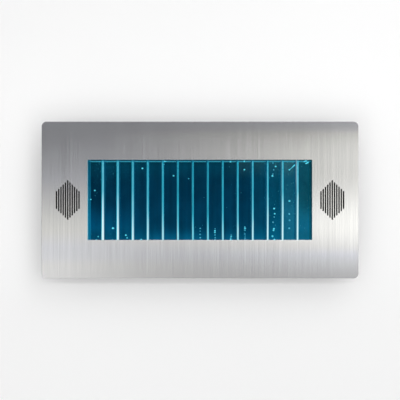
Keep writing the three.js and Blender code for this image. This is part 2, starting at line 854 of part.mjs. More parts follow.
function makeFiller() {
  const boxTop = trayHeight / 2;
  const neckTop = boxTop + fillerStandOut;
  const lidTop = tankRise;
  const profile = [
    [fillerBoreRadius, lidTop - lidThickness],
    [fillerNeckRadius, lidTop - lidThickness],
    [fillerNeckRadius, lidTop + glueGap],
    [fillerFlangeRadius, lidTop + glueGap],
    [fillerFlangeRadius, lidTop + fillerFlangeThickness],
    [fillerNeckRadius, lidTop + fillerFlangeThickness],
    [fillerNeckRadius, neckTop],
    [fillerBoreRadius, neckTop],
    [fillerBoreRadius, lidTop - lidThickness],
  ];
  const sealBottom = neckTop + fitGap;
  const capInside = sealBottom + sealThickness + fitGap;
  const bore = fillerNeckRadius + skirtGap;
  const seal = turnedUp(rod(fillerNeckRadius, sealBottom, sealBottom + sealThickness));
  const end = capInside + fillerCapTop;
  const cap = capGeometry(fillerCapRadius, bore, boxTop + capClearance, end, fillerCapTop);
  const filler = groupAt(fillerX, -channelMiddle, 0);
  place(filler, "filler_neck", turnedUp(profile), clearAcrylic);
  place(filler, "filler_seal", seal, greyRubber);
  place(filler, "filler_cap", cap, blackPlastic);
}

function makeDrain() {
  const boxBottom = -trayHeight / 2;
  const spoutEnd = boxBottom - drainStandOut;
  const seat = manifoldTop + glueGap;
  const profile = [
    [drainBoreRadius, spoutEnd],
    [drainSpoutRadius, spoutEnd],
    [drainSpoutRadius, seat],
    [drainFlangeRadius, seat],
    [drainFlangeRadius, seat + drainFlangeThickness],
    [drainBoreRadius, seat + drainFlangeThickness],
    [drainBoreRadius, spoutEnd],
  ];
  const sealTop = spoutEnd - fitGap;
  const capInside = sealTop - sealThickness - fitGap;
  const bore = drainSpoutRadius + skirtGap;
  const seal = turnedUp(rod(drainSpoutRadius, sealTop - sealThickness, sealTop), smallSides);
  const rim = -(boxBottom - capClearance);
  const upright = capGeometry(drainCapRadius, bore, rim, -capInside + drainCapTop, drainCapTop);
  const drain = groupAt(drainX, -drainAxisDepth, 0);
  place(drain, "drain_spout", turnedUp(profile, smallSides), clearAcrylic);
  place(drain, "drain_seal", seal, greyRubber);
  place(drain, "drain_cap", upright.rotateX(Math.PI), blackPlastic);
}

// The pump lies in the bay above the tank. Its group's origin is on the box's back, at the
// middle of the case, and its lever swings up and down about a post that stands on the base.
function makePump() {
  const pump = groupAt(pumpX, 0, bayMiddle);
  const baseBack = seatDepth + pumpFootHeight;
  const baseFront = pumpBaseFront;
  const caseBack = baseFront + fitGap;
  const axis = pumpAxis;
  const [left, right] = centred(0, pumpLength);
  const pivotX = right - pivotInset;
  const leverAcross = centred(axis, leverWidth);

  const outer = roundedRectangle(pumpLength, pumpHeight, pumpCornerRadius, smallSides);
  const inner = roundedRectangle(
    pumpLength - 2 * pumpWall,
    pumpHeight - 2 * pumpWall,
    pumpCornerRadius - pumpWall,
    smallSides,
  );
  const shell = facing(outer, caseBack, pumpDepth);
  const pocket = facing(inner, caseBack - overrun, pumpDepth - pumpWall + overrun);
  const barbZ = chamberBottom + chamberHeight / 2;
  const barbY = -baseFront - barbDepth;
  const wallTool = [right - pumpWall - overrun, right + overrun];
  const barbHole = turnedAlong(rod(barbRadius + 2 * boreGap, ...wallTool), smallSides);
  barbHole.translate(0, barbY, barbZ);
  const leadTool = [left - overrun, left + pumpWall + overrun];
  const leadHole = turnedAlong(rod(pumpLeadHoleRadius, ...leadTool), smallSides);
  leadHole.translate(0, -axis, 0);
  place(pump, "pump_case", cut(shell, pocket, barbHole, leadHole), blackPlastic);

  const footX = pumpLength / 2 - pumpFootInset;
  const footZ = pumpHeight / 2 - pumpFootInset;
  const postTop = axis + leverWidth / 2 + 2 * fitGap;
  const post = turnedForward(rod(pivotRadius, baseBack, postTop), smallSides);
  const coreLeft = left + pumpWall + fitGap;
  const coreBack = axis - coreDepth / 2;
  const baseParts = [facing(outer, baseBack, pumpBaseThickness)];
  baseParts.push(post.translate(pivotX, 0, 0));
  const seatAcross = [coreLeft, coreLeft + coreSeatLength];
  baseParts.push(block(seatAcross, [baseBack, coreBack - fitGap], centred(0, coreHeight)));
  for (const side of [-1, 1])
    for (const level of [-1, 1]) {
      const foot = turnedForward(rod(pumpFootRadius, seatDepth, baseFront), smallSides);
      baseParts.push(foot.translate(side * footX, 0, level * footZ));
    }
  place(pump, "pump_base", join(...baseParts), greyRubber);

  const coreRight = coreLeft + coreLength;
  const coreAcross = [coreBack, coreBack + coreDepth];
  const coreParts = [block([coreLeft, coreLeft + coreYoke], coreAcross, centred(0, coreHeight))];
  for (const level of [-1, 0, 1]) {
    const z = level * (coreHeight / 2 - coreLeg / 2);
    coreParts.push(block([coreLeft, coreRight], coreAcross, centred(z, coreLeg)));
  }
  const bobbinX = (coreLeft + coreYoke + coreRight) / 2;
  const bobbin = roundedRectangle(bobbinDepth, bobbinHeight, coreLeg / 2, smallSides);
  const winding = running(bobbin, bobbinX - bobbinLength / 2, bobbinLength);
  coreParts.push(winding.translate(0, -axis, 0));
  place(pump, "pump_coil", join(...coreParts), copperBrown);

  const leverLeft = coreRight + magnetGap;
  const leverParts = [block([leverLeft, pivotX], leverAcross, centred(0, leverThickness))];
  leverParts.push(block([leverLeft, leverLeft + magnetLength], leverAcross, centred(0, magnetHeight)));
  const eye = turnedForward(rod(pivotEyeRadius, ...leverAcross), smallSides);
  leverParts.push(eye.translate(pivotX, 0, 0));
  const bellowsX = pivotX - bellowsReach;
  const stem = turnedUp(rod(stemRadius, -leverThickness / 2 - stemLength, 0), tubeSides);
  leverParts.push(stem.translate(bellowsX, -axis, 0));
  const bore = turnedForward(
    rod(pivotRadius + boreGap, leverAcross[0] - overrun, leverAcross[1] + overrun),
    smallSides,
  );
  const lever = cut(join(...leverParts), bore.translate(pivotX, 0, 0));
  const armature = place(pump, "pump_armature", lever.translate(-pivotX, 0, 0), magnetGrey);
  armature.position.x = pivotX;

  const chamberTop = chamberBottom + chamberHeight;
  const bellowsTop = chamberTop + bellowsHeight;
  const cup = [
    [0, chamberBottom + overrun],
    [bellowsRadius, chamberBottom + overrun],
    [bellowsRadius, chamberTop + bellowsHeight / 4],
    [bellowsWaist, chamberTop + bellowsHeight / 2],
    [bellowsRadius, bellowsTop - bellowsHeight / 4],
    [bellowsRadius, bellowsTop],
    [bellowsRecessRadius, bellowsTop],
    [bellowsRecessRadius, bellowsTop - bellowsRecessDepth],
    [0, bellowsTop - bellowsRecessDepth],
  ];
  const chamberX = centred(bellowsX, chamberLength);
  const barb = turnedAlong(rod(barbRadius, bellowsX, right + barbReach), tubeSides);
  const chamber = join(
    block(chamberX, [caseBack, caseBack + chamberDepth], [chamberBottom, chamberTop]),
    turnedUp(cup, cornerSides).translate(bellowsX, -axis, 0),
    barb.translate(0, barbY, barbZ),
  );
  place(pump, "pump_bellows", chamber, greyRubber);
}

function makeCheckValve() {
  const middle = valveTop - valveLength / 2;
  const half = valveBodyLength / 2;
  const profile = [
    [0, valveTop - valveLength],
    [barbRadius, valveTop - valveLength],
    [barbRadius, middle - half],
    [valveBodyRadius, middle - half],
    [valveBodyRadius, middle],
    [valveWaistRadius, middle + fitGap],
    [valveWaistRadius, middle + half],
    [barbRadius, middle + half],
    [barbRadius, valveTop],
    [0, valveTop],
  ];
  const valve = place(panel, "check_valve", turnedUp(profile, smallSides), whitePlastic);
  valve.position.set(valveX, -valveDepth, 0);
}

function makePowerSupply() {
  const length = supplyLength;
  const half = supplyHeight / 2;
  const section = [
    [-seatDepth, -half],
    [-seatDepth, half],
    [-supplyFront + supplyEdge, half],
    [-supplyFront, half - supplyEdge],
    [-supplyFront, -half + supplyEdge],
    [-supplyFront + supplyEdge, -half],
  ];
  const ears = roundedRectangle(length + 2 * supplyEar, supplyHeight, supplyEdge, smallSides);
  const screwHoles = [];
  for (const side of [-1, 1])
    for (const level of [-1, 1]) {
      const x = (side * (length + supplyEar)) / 2;
      screwHoles.push(circle(x, (level * supplyHeight) / 4, supplyEarHoleRadius, tubeSides));
    }
  const body = running(section, -length / 2, length);
  const tabs = facing(ears, seatDepth, supplyEarThickness, screwHoles);
  const supply = place(panel, "power_supply", join(body, tabs), whitePlastic);
  supply.position.set(supplyX, 0, bayMiddle);
}

function makeControlBoard() {
  const back = seatDepth + standoffHeight;
  const front = boardFront;
  const root = front - componentRoot;
  const [left, right] = centred(0, boardLength);
  const parts = [block([left, right], [back, front], centred(0, boardHeight))];
  for (const side of [-1, 1])
    for (const level of [-1, 1]) {
      const x = side * (boardLength / 2 - standoffInset);
      const z = level * (boardHeight / 2 - standoffInset);
      const standoff = turnedForward(rod(standoffRadius, seatDepth, front), tubeSides);
      parts.push(standoff.translate(x, 0, z));
    }
  const sinkX = centred(right - standoffInset - standoffRadius - sinkLength / 2, sinkLength);
  const sinkUp = centred(0, sinkHeight);
  parts.push(block(sinkX, [root, front + sinkBase], sinkUp));
  const finPitch = (sinkHeight - sinkFinThickness) / (sinkFinCount - 1);
  for (let n = 0; n < sinkFinCount; n += 1) {
    const z = (n - (sinkFinCount - 1) / 2) * finPitch;
    parts.push(block(sinkX, [root, front + sinkDepth], centred(z, sinkFinThickness)));
  }
  for (const level of [-1, 1]) {
    const can = turnedForward(rod(capacitorRadius, root, front + capacitorHeight), smallSides);
    parts.push(can.translate(0, 0, (level * capacitorSpacing) / 2));
  }
  const chipX = left + terminalLength + chipSize;
  parts.push(block(centred(chipX, chipSize), [root, front + chipHeight], centred(0, chipSize)));
  const terminals = [left, left + terminalLength];
  parts.push(block(terminals, [root, front + terminalDepth], centred(0, terminalHeight)));
  const board = place(panel, "control_board", join(...parts), boardGreen);
  board.position.set(boardX, 0, bayMiddle);
}

// Half-circle roll of the rubber surround, from the cone's rim out to the basket, as rings.
function surroundRings(innerWidth, innerHeight, depth) {
  const rings = [];
  const steps = 3;
  for (let n = 0; n <= steps; n += 1) {
    const out = (surroundWidth * (1 - Math.cos((Math.PI * n) / steps))) / 2;
    const rise = surroundRoll * Math.sin((Math.PI * n) / steps);
    rings.push([innerWidth + out, innerHeight + out, depth + rise]);
  }
  const under = rings.map(([x, z, d]) => [x, z, d - surroundThickness]).reverse();
  return [...rings, ...under];
}

function makeSpeaker(name, side) {
  const speaker = groupAt(side * grilleX, 0, 0);
  const flangeFront = frameBack - fitGap;
  const flangeBack = speakerFlangeBack;
  const mouthWidth = speakerHalfWidth - speakerFlange;
  const mouthHeight = speakerHalfHeight - speakerFlange;
  const rearFront = basketRear;
  const rearBack = rearFront - basketWall;
  const basketRings = [
    [speakerHalfWidth, speakerHalfHeight, flangeFront],
    [speakerHalfWidth, speakerHalfHeight, flangeBack],
    [mouthWidth + basketWall, mouthHeight + basketWall, flangeBack],
    [basketRearHalfWidth, basketRearHalfHeight, rearBack],
    [gapRadius, gapRadius, rearBack],
    [gapRadius, gapRadius, rearFront],
    [basketRearHalfWidth - basketWall, basketRearHalfHeight - basketWall, rearFront],
    [mouthWidth, mouthHeight, flangeBack],
    [mouthWidth, mouthHeight, flangeFront],
  ];
  const tools = [];
  const windowFront = flangeBack - (basketDepth * (1 - basketWindowShare)) / 2;
  const windowBack = rearFront + (basketDepth * (1 - basketWindowShare)) / 2;
  for (let n = 0; n < basketWindowCount; n += 1) {
    const angle = (2 * Math.PI * (n + 1 / 2)) / basketWindowCount;
    const reach = [basketRearHalfWidth - 2 * basketWall, speakerHalfHeight + overrun];
    const tool = block(reach, [windowBack, windowFront], centred(0, basketWindowWidth));
    tools.push(tool.rotateY(angle));
  }
  const tab = block(centred(0, tabWidth), [rearBack, rearFront], [
    basketRearHalfHeight - 2 * basketWall,
    basketRearHalfHeight + tabHeight,
  ]);
  const basket = join(cut(ovalLoft(basketRings, true), ...tools), tab);
  place(speaker, "speaker_basket_" + name, basket, blackPlastic);

  const rimFront = flangeBack + surroundThickness;
  const rimWidth = mouthWidth - surroundWidth - 2 * fitGap;
  const rimHeight = mouthHeight - surroundWidth - 2 * fitGap;
  const rings = surroundRings(rimWidth + fitGap, rimHeight + fitGap, rimFront);
  place(speaker, "speaker_surround_" + name, ovalLoft(rings, true), greyRubber);

  const neckFront = rimFront - coneDepth;
  const coilEnd = neckFront - coilLength;
  const coilInner = coilRadius - coneWall;
  const coneRings = [
    [0, 0, neckFront + dustCapRise],
    [coilRadius / 2, coilRadius / 2, neckFront + dustCapShare * dustCapRise],
    [coilRadius, coilRadius, neckFront],
    [rimWidth, rimHeight, rimFront],
    [rimWidth, rimHeight, rimFront - coneWall],
    [coilRadius, coilRadius, neckFront - 2 * coneWall],
    [coilRadius, coilRadius, coilEnd],
    [coilInner, coilInner, coilEnd],
    [coilInner, coilInner, neckFront - coneWall],
    [coilRadius / 2, coilRadius / 2, neckFront + dustCapShare * dustCapRise - coneWall],
    [0, 0, neckFront + dustCapRise - coneWall],
  ];
  place(speaker, "speaker_cone_" + name, ovalLoft(coneRings, false), conePaper);

  const topFront = rearBack - fitGap;
  const topBack = topFront - topPlateThickness;
  const ringBack = topBack - magnetThickness;
  const motorBack = ringBack - backPlateThickness;
  const motor = [
    [0, topFront],
    [poleRadius, topFront],
    [poleRadius, ringBack],
    [gapRadius, ringBack],
    [gapRadius, topFront],
    [topPlateRadius, topFront],
    [topPlateRadius, topBack],
    [magnetRadius, topBack],
    [magnetRadius, ringBack],
    [topPlateRadius, ringBack],
    [topPlateRadius, motorBack],
    [0, motorBack],
  ];
  place(speaker, "speaker_magnet_" + name, turnedForward(motor), magnetGrey);
}

// A round lead or tube along points of [x, depth, height].
function alongRoute(route, radius, sides, steps) {
  const curve = new THREE.CatmullRomCurve3(
    route.map(([x, depth, z]) => new THREE.Vector3(x, -depth, z)),
    false,
    "centripetal",
  );
  const section = shapeOf(circle(0, 0, radius, sides));
  return new THREE.ExtrudeGeometry(section, { extrudePath: curve, steps });
}

// The ends and faces that the tubes and leads keep to, as [x, depth, height]
const pumpBarb = [
  pumpX + pumpLength / 2 + barbReach,
  pumpBaseFront + barbDepth,
  bayMiddle + chamberBottom + chamberHeight / 2,
];
const pumpLeadHole = [pumpX - pumpLength / 2, pumpAxis, bayMiddle];
const pumpFace = [pumpX, pumpCaseFront, bayMiddle];
const valveInlet = [valveX, valveDepth, valveTop];
const valveOutlet = [valveX, valveDepth, valveTop - valveLength];
const tankInlet = [tankInnerWidth / 2 + endThickness, channelMiddle, plenumMiddle];
const tankLeftTop = [-tankInnerWidth / 2 - endThickness, channelMiddle, tankRise];
const tankLeftFoot = [-tankInnerWidth / 2 - endThickness, channelMiddle, -tankDrop];
const stripEnd = [ledBoardShortfall - tankInnerWidth / 2, channelMiddle, ledBoardBottom + ledLeadRadius];
const boardLeft = [boardX - boardLength / 2, boardFront, bayMiddle];
const boardRight = [boardX + boardLength / 2, boardFront, bayMiddle];
const supplyEnd = [supplyX + supplyLength / 2, seatDepth, bayMiddle];
const supplyFace = [supplyX, supplyFront, bayMiddle];
const supplyGap = [between(boardLeft[0], supplyEnd[0]), boardFront, bayMiddle];
const fillerAxis = [fillerX, channelMiddle, bayMiddle];
const tabDepth = basketRear - basketWall / 2;
const tabTop = basketRearHalfHeight + tabHeight;
const tabLeft = [-grilleX, tabDepth, tabTop];
const tabRight = [grilleX, tabDepth, tabTop];

// Points chosen by hand, each list counted from one of the places above.
const from = ([x, depth, z], points) => points.map(([a, b, c]) => [x + a, depth + b, z + c]);

const airTubeUpper = [
  ...from(pumpBarb, [[0.3, 0, 0], [11, 0, 0]]),
  ...from(valveInlet, [[-54, 6, 23.6], [-32, 4.5, 22.5], [-14, 2, 19], [-4, 0.5, 12.5]]),
  ...from(valveInlet, [[0, 0, 5], [0, 0, 0.3]]),
];
const airTubeLower = [
  ...from(valveOutlet, [[0, 0, -0.3], [0, 0, -10], [0, -1, -38]]),
  ...from(tankInlet, [[40, -20, 115], [40, -20, 65], [40, -18, 31], [38, -11, 13]]),
  ...from(tankInlet, [[30, -4, 3.5], [16, -0.5, 0], [6, 0, 0], [-3, 0, 0]]),
];
const speakerLeadLeft = [
  ...from(boardLeft, [[-0.4, 4.9, -8.9], [-5, 5.4, -8.9]]),
  ...from(supplyGap, [[0, 12, -8.9]]),
  ...from(supplyEnd, [[6, 35, -5.9]]),
  ...from(supplyFace, [[45, 6.5, -4.9], [5, 6.5, -4.4], [-35, 6.5, -5.9], [-67, 7.5, -10.9]]),
  ...from(tankLeftTop, [[-7, 9, 3]]),
  ...from(tabLeft, [[16, -1, 60], [4, 0, 36], [0, 0, 16], [0, 0, 8], [0, 0, 0.4]]),
];
const speakerLeadRight = [
  ...from(boardRight, [[0.4, -0.8, -8.9], [10, -0.1, -8.9], [26, 6.9, -6.9]]),
  ...from(fillerAxis, [[-34, 2, -2.9], [-22, 20, 0.1], [0, 25, 1.1], [34, 25, 1.1]]),
  ...from(pumpFace, [[-35, 4.7, 1.1], [15, 4.7, 0.1], [61, 4.7, -3.9]]),
  ...from(tabRight, [[-50, 11, 90], [-22, 5, 64], [-6, 1, 38], [0, 0, 18], [0, 0, 10], [0, 0, 0.4]]),
];
const ledLead = [
  ...from(boardLeft, [[-0.4, 4.9, 9.1], [-5, 5.9, 9.1]]),
  ...from(supplyGap, [[0, 17, 9.1]]),
  ...from(supplyEnd, [[6, 39, 9.1]]),
  ...from(supplyFace, [[45, 11.5, 9.1], [0, 11.5, 9.1], [-30, 11.5, 8.1]]),
  ...from(tankLeftTop, [[26, 10, 29], [6, 7, 19], [-3.2, 3, 7], [-4.5, 0, -8], [-4.5, -1, -60]]),
  ...from(tankLeftFoot, [[-4.5, -1, 64], [-4.5, -1, 20], [-4.5, 0, 2]]),
  ...from(stripEnd, [[-11.5, 0, 3.9], [-7, 0, 0], [-0.4, 0, 0]]),
];
const pumpLead = [
  ...from(boardRight, [[0.4, 0.1, 13.1], [16, 0.3, 13.1]]),
  ...from(fillerAxis, [[-26, -22.5, 13.1], [8, -22, 12.1]]),
  ...from(pumpLeadHole, [[-31, -13, 8.1], [-17, -6, 3.1], [-7, -1, 0.3], [-1, 0, 0], [1.8, 0, 0]]),
];
const supplyLead = [
  ...from(supplyEnd, [[0.4, 16.5, 3.1], [5, 16.5, 3.1]]),
  ...from(supplyGap, [[0, 6.5, 1.6]]),
  ...from(boardLeft, [[-5, 5.9, 1.1], [-0.4, 5.9, 1.1]]),
];

function makeRoutes() {
  const air = (name, route, steps) =>
    place(panel, name, alongRoute(route, airTubeRadius, tubeSides, steps), clearTube);
  air("air_tube_upper", airTubeUpper, 13);
  air("air_tube_lower", airTubeLower, 22);
  const lead = (name, route, radius, steps) =>
    place(panel, name, alongRoute(route, radius, leadSides, steps), blackWire);
  lead("speaker_lead_left", speakerLeadLeft, speakerLeadRadius, 25);
  lead("speaker_lead_right", speakerLeadRight, speakerLeadRadius, 27);
  lead("led_lead", ledLead, ledLeadRadius, 32);
  lead("pump_lead", pumpLead, pumpLeadRadius, 12);
  lead("supply_lead", supplyLead, supplyLeadRadius, 6);
}

makeBackBox();
makeCableBush();
makeFrontFrame();
makeGasket();
makePanes();
makeEnds();
makeLayers();
makeDividers();
makeShelf();
makeLightBar();
makeFiller();
makeDrain();
makePump();
makeCheckValve();
makePowerSupply();
makeControlBoard();
makeSpeaker("left", -1);
makeSpeaker("right", 1);
makeRoutes();
makeFacePlate();
makeGrilleCloth("grille_cloth_left", -1);
makeGrilleCloth("grille_cloth_right", 1);

export default panel;
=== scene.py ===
"""Looks of a wall-hung bubble panel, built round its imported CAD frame. Blender 4.5, metres."""

import json
import math
import random

import bmesh
import bpy
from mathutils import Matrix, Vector


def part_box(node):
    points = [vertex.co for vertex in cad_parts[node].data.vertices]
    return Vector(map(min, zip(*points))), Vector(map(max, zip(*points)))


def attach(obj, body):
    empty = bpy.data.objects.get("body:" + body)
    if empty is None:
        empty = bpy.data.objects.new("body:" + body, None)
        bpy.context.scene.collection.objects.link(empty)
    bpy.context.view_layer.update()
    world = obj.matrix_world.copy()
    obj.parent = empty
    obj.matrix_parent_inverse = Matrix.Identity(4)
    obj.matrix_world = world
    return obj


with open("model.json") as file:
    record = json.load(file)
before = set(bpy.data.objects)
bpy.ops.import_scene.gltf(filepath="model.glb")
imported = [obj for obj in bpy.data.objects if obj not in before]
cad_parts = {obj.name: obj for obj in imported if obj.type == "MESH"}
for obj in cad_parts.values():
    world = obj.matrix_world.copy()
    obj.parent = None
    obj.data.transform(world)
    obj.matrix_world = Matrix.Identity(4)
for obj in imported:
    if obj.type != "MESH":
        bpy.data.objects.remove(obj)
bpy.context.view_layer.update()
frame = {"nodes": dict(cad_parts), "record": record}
nodes = frame["nodes"]
MM = 0.001

# The photograph's view: straight on, in pixels of a 400 by 400 picture
CAMERA_DISTANCE = 1.87
VIEW_WIDTH = 1.01  # of the plane of the face plate
PICTURE_SIZE = 400
PICTURE_MIDDLE = (199.95, 199.9)
SENSOR = 36.0

plate_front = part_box("face_plate")[0].y
LENS = SENSOR * (CAMERA_DISTANCE + plate_front) / VIEW_WIDTH
PIXELS_PER_SLOPE = PICTURE_SIZE * LENS / SENSOR

# The tank's inside, from the CAD pieces round it
rear_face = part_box("tank_rear_pane")[0].y
front_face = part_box("tank_front_pane")[1].y
tank_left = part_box("tank_left_end")[1].x
tank_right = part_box("tank_right_end")[0].x
tank_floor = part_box("air_manifold")[1].z
CHANNELS = 15
WATER_LEVEL = 98.7 * MM
channel_pitch = (tank_right - tank_left) / CHANNELS
divider_half = (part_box("divider_01")[1].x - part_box("divider_01")[0].x) / 2

# The face plate's outlines and its grilles
plate_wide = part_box("face_plate")[1].x
plate_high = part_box("face_plate")[1].z
PLATE_CORNER = 12 * MM
WINDOW_WIDE = 283 * MM  # half its width
WINDOW_HIGH = 101 * MM
WINDOW_CORNER = 1.5 * MM
BROKEN_EDGE = 0.7 * MM
EDGE_LEAN = 1.2  # of the normal outwards, over the broken edge
WINDOW_LEAN = -0.6
TINTED_EDGE = 1.6 * MM
SLOT_PITCH = 5.7 * MM
SLOT_HALF = 1.5 * MM
SLOT_LONGEST = 50 * MM  # half its length
SLOT_STEP = 5.5 * MM
SLOT_SIDES = 5  # slots on each side of the middle one
SLOT_DARK = 0.05 * MM
SLOT_RIM = 0.6 * MM
grille_middle = (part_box("grille_cloth_right")[0].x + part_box("grille_cloth_right")[1].x) / 2


def linear(red, green, blue):
    """A picture's 0 to 255 colour as a linear colour."""

    def one(value):
        share = value / 255
        return share / 12.92 if share <= 0.04045 else ((share + 0.055) / 1.055) ** 2.4

    return (one(red), one(green), one(blue), 1.0)


def at_pixel(across, down, depth):
    """The point that shows at a pixel of the photograph, at a depth in front of the wall."""
    reach = (CAMERA_DISTANCE - depth) / PIXELS_PER_SLOPE
    x = (across - PICTURE_MIDDLE[0]) * reach
    z = (PICTURE_MIDDLE[1] - down) * reach
    return Vector((x, -depth, z))


NOISE_REACH = (0.3, 0.7)  # where nearly all of a noise lies


class Nodes:
    """A node tree under construction, with short names for the nodes that it uses."""

    def __init__(self, tree):
        self.tree = tree
        tree.nodes.clear()

    def add(self, kind, inputs=None, **settings):
        made = self.tree.nodes.new("ShaderNode" + kind)
        for name, value in settings.items():
            setattr(made, name, value)
        for name, value in (inputs or {}).items():
            self.feed(made.inputs[name], value)
        return made

    def feed(self, socket, value):
        if isinstance(value, bpy.types.NodeSocket):
            self.tree.links.new(value, socket)
        else:
            socket.default_value = value

    def parts(self, vector):
        """The x, y and z of a vector."""
        made = self.add("SeparateXYZ", {0: vector}).outputs
        return made[0], made[1], made[2]

    def maths(self, operation, first, second=0.0, third=0.0):
        inputs = {0: first, 1: second, 2: third}
        return self.add("Math", inputs, operation=operation).outputs[0]

    def span(self, value, low, high, to_low=0.0, to_high=1.0, smooth=False):
        """value taken from one range to another, and held at its ends."""
        inputs = {"Value": value, "From Min": low, "From Max": high}
        inputs.update({"To Min": to_low, "To Max": to_high})
        kind = "SMOOTHSTEP" if smooth else "LINEAR"
        return self.add("MapRange", inputs, interpolation_type=kind).outputs["Result"]


class Look(Nodes):
    """A node material under construction.

    Places are in metres from the wall behind the plate's middle, and levels are shares of full light.
    """

    def __init__(self, name):
        self.material = bpy.data.materials.new(name)
        self.material.use_nodes = True
        super().__init__(self.material.node_tree)
        self.place = self.add("TexCoord").outputs["Object"]

    def stretched(self, scale):
        """The place, scaled along x, y and z."""
        return self.add("Mapping", {"Vector": self.place, "Scale": scale}).outputs[0]

    def noise(self, scale, detail=2.0, roughness=0.5):
        """Cloudy noise whose grains are 1/scale metres along x, y and z."""
        inputs = {"Vector": self.stretched(scale), "Scale": 1.0}
        inputs.update({"Detail": detail, "Roughness": roughness})
        return self.add("TexNoise", inputs).outputs["Fac"]

    def cells(self, scale):
        """Distance to the middle of the nearest of many cells."""
        inputs = {"Vector": self.stretched(scale), "Scale": 1.0}
        return self.add("TexVoronoi", inputs).outputs["Distance"]

    def axes(self):
        return self.parts(self.place)

    def facing(self):
        return self.parts(self.add("NewGeometry").outputs["Normal"])

    def flat(self, x, z):
        """A vector in the plate's plane, and its length."""
        vector = self.add("CombineXYZ", {0: x, 2: z}).outputs[0]
        return vector, self.add("VectorMath", {0: vector}, operation="LENGTH").outputs["Value"]

    def ramp(self, value, *stops):
        """A colour ramp of (position, colour) stops."""
        made = self.add("ValToRGB", {"Fac": value})
        elements = made.color_ramp.elements
        while len(elements) < len(stops):
            elements.new(0.5)
        for element, (position, colour) in zip(elements, stops):
            element.position = position
            element.color = colour
        return made.outputs["Color"]

    def levels(self, value, *points):
        """A number that follows another one through (position, level) points."""
        return self.ramp(value, *[(position, grey(level)) for position, level in points])

    def blend(self, share, first, second, kind="MIX"):
        made = self.add("Mix", data_type="RGBA", blend_type=kind)
        self.feed(made.inputs[0], share)
        self.feed(made.inputs[6], first)
        self.feed(made.inputs[7], second)
        return made.outputs[2]

    def varied(self, noise, low, high):
        """Noise spread over a range of values."""
        return self.span(noise, *NOISE_REACH, low, high)

    def mottled(self, noise, dark, light):
        """Noise spread between two colours."""
        return self.ramp(noise, (NOISE_REACH[0], dark), (NOISE_REACH[1], light))

    def scaled(self, colour, gain):
        """A colour made brighter or darker by a number."""
        shade = self.add("CombineColor", {0: gain, 1: gain, 2: gain}).outputs[0]
        return self.blend(1.0, colour, shade, "MULTIPLY")

    def bump(self, height, distance, strength=1.0, normal=None):
        inputs = {"Height": height, "Distance": distance, "Strength": strength}
        if normal is not None:
            inputs["Normal"] = normal
        return self.add("Bump", inputs).outputs["Normal"]

    def outline(self, half_wide, half_high, radius):
        """Distance outside a rounded rectangle round the middle, and the way out from it as x and z."""
        x, _, z = self.axes()
        beyond = []
        for value, half in ((x, half_wide), (z, half_high)):
            past = self.maths("SUBTRACT", self.maths("ABSOLUTE", value), half - radius)
            past = self.maths("MAXIMUM", past, 0.0)
            beyond.append(self.maths("MULTIPLY", past, self.maths("SIGN", value)))
        both, length = self.flat(*beyond)
        way = self.add("VectorMath", {0: both}, operation="NORMALIZE").outputs[0]
        return self.maths("SUBTRACT", length, radius), way

    def leaning(self, normal, way, share):
        """A normal that leans a given way, as on a rounded-over edge."""
        lean = self.add("VectorMath", {0: way, "Scale": share}, operation="SCALE").outputs[0]
        return self.add("VectorMath", {0: normal, 1: lean}, operation="ADD").outputs[0]

    def finish(self, inputs):
        """The surface, as a principled shader with these inputs."""
        shader = self.add("BsdfPrincipled", inputs)
        self.add("OutputMaterial", {"Surface": shader.outputs[0]})
        return self.material


def grey(value):
    return (value, value, value, 1.0)


def painted_slot_shade(look):
    """1 on the walls of the grilles' slots and at their rims: painted shade that darkens each slot out
    past its cut edge.
    """
    x, _, z = look.axes()
    across = look.maths("SUBTRACT", look.maths("ABSOLUTE", x), grille_middle)
    number = look.maths("ROUND", look.maths("DIVIDE", across, SLOT_PITCH))
    number = look.span(number, -SLOT_SIDES, SLOT_SIDES, -SLOT_SIDES, SLOT_SIDES)
    off = look.maths("SUBTRACT", across, look.maths("MULTIPLY", number, SLOT_PITCH))
    from_middle = look.maths("ABSOLUTE", number)
    straight = look.maths("MULTIPLY_ADD", from_middle, -SLOT_STEP, SLOT_LONGEST - SLOT_HALF)
    beyond = look.maths("MAXIMUM", look.maths("SUBTRACT", look.maths("ABSOLUTE", z), straight), 0.0)
    _, away = look.flat(off, beyond)
    return look.span(away, SLOT_HALF + SLOT_DARK, SLOT_HALF + SLOT_RIM, 1.0, 0.0, True)


def painted_reflection_cast(look):
    """Painted warm and cool casts of the reflected light on the sheet, from its top down: 0 is warm and
    1 is cool.
    """
    x, _, z = look.axes()
    down = look.span(z, plate_high, -plate_high)
    on_left = look.levels(
        down,
        (0.0, 1.0), (0.36, 0.95), (0.5, 0.5), (0.62, 0.15), (0.70, 0.1), (0.76, 0.6), (0.80, 0.85),
        (0.87, 0.75), (0.92, 0.35), (1.0, 0.4),
    )
    on_right = look.levels(
        down,
        (0.0, 0.9), (0.05, 0.6), (0.08, 0.0), (0.5, 0.1), (0.7, 0.1), (0.79, 0.3), (0.85, 1.0),
        (0.92, 0.75), (1.0, 0.6),
    )
    cast = look.blend(look.span(x, -0.25, 0.25), on_left, on_right)
    return look.ramp(
        cast,
        (0.0, (1.01, 1.005, 0.965, 1)),
        (0.5, (1.0, 1.0, 1.0, 1)),
        (1.0, (0.975, 0.99, 1.045, 1)),
    )


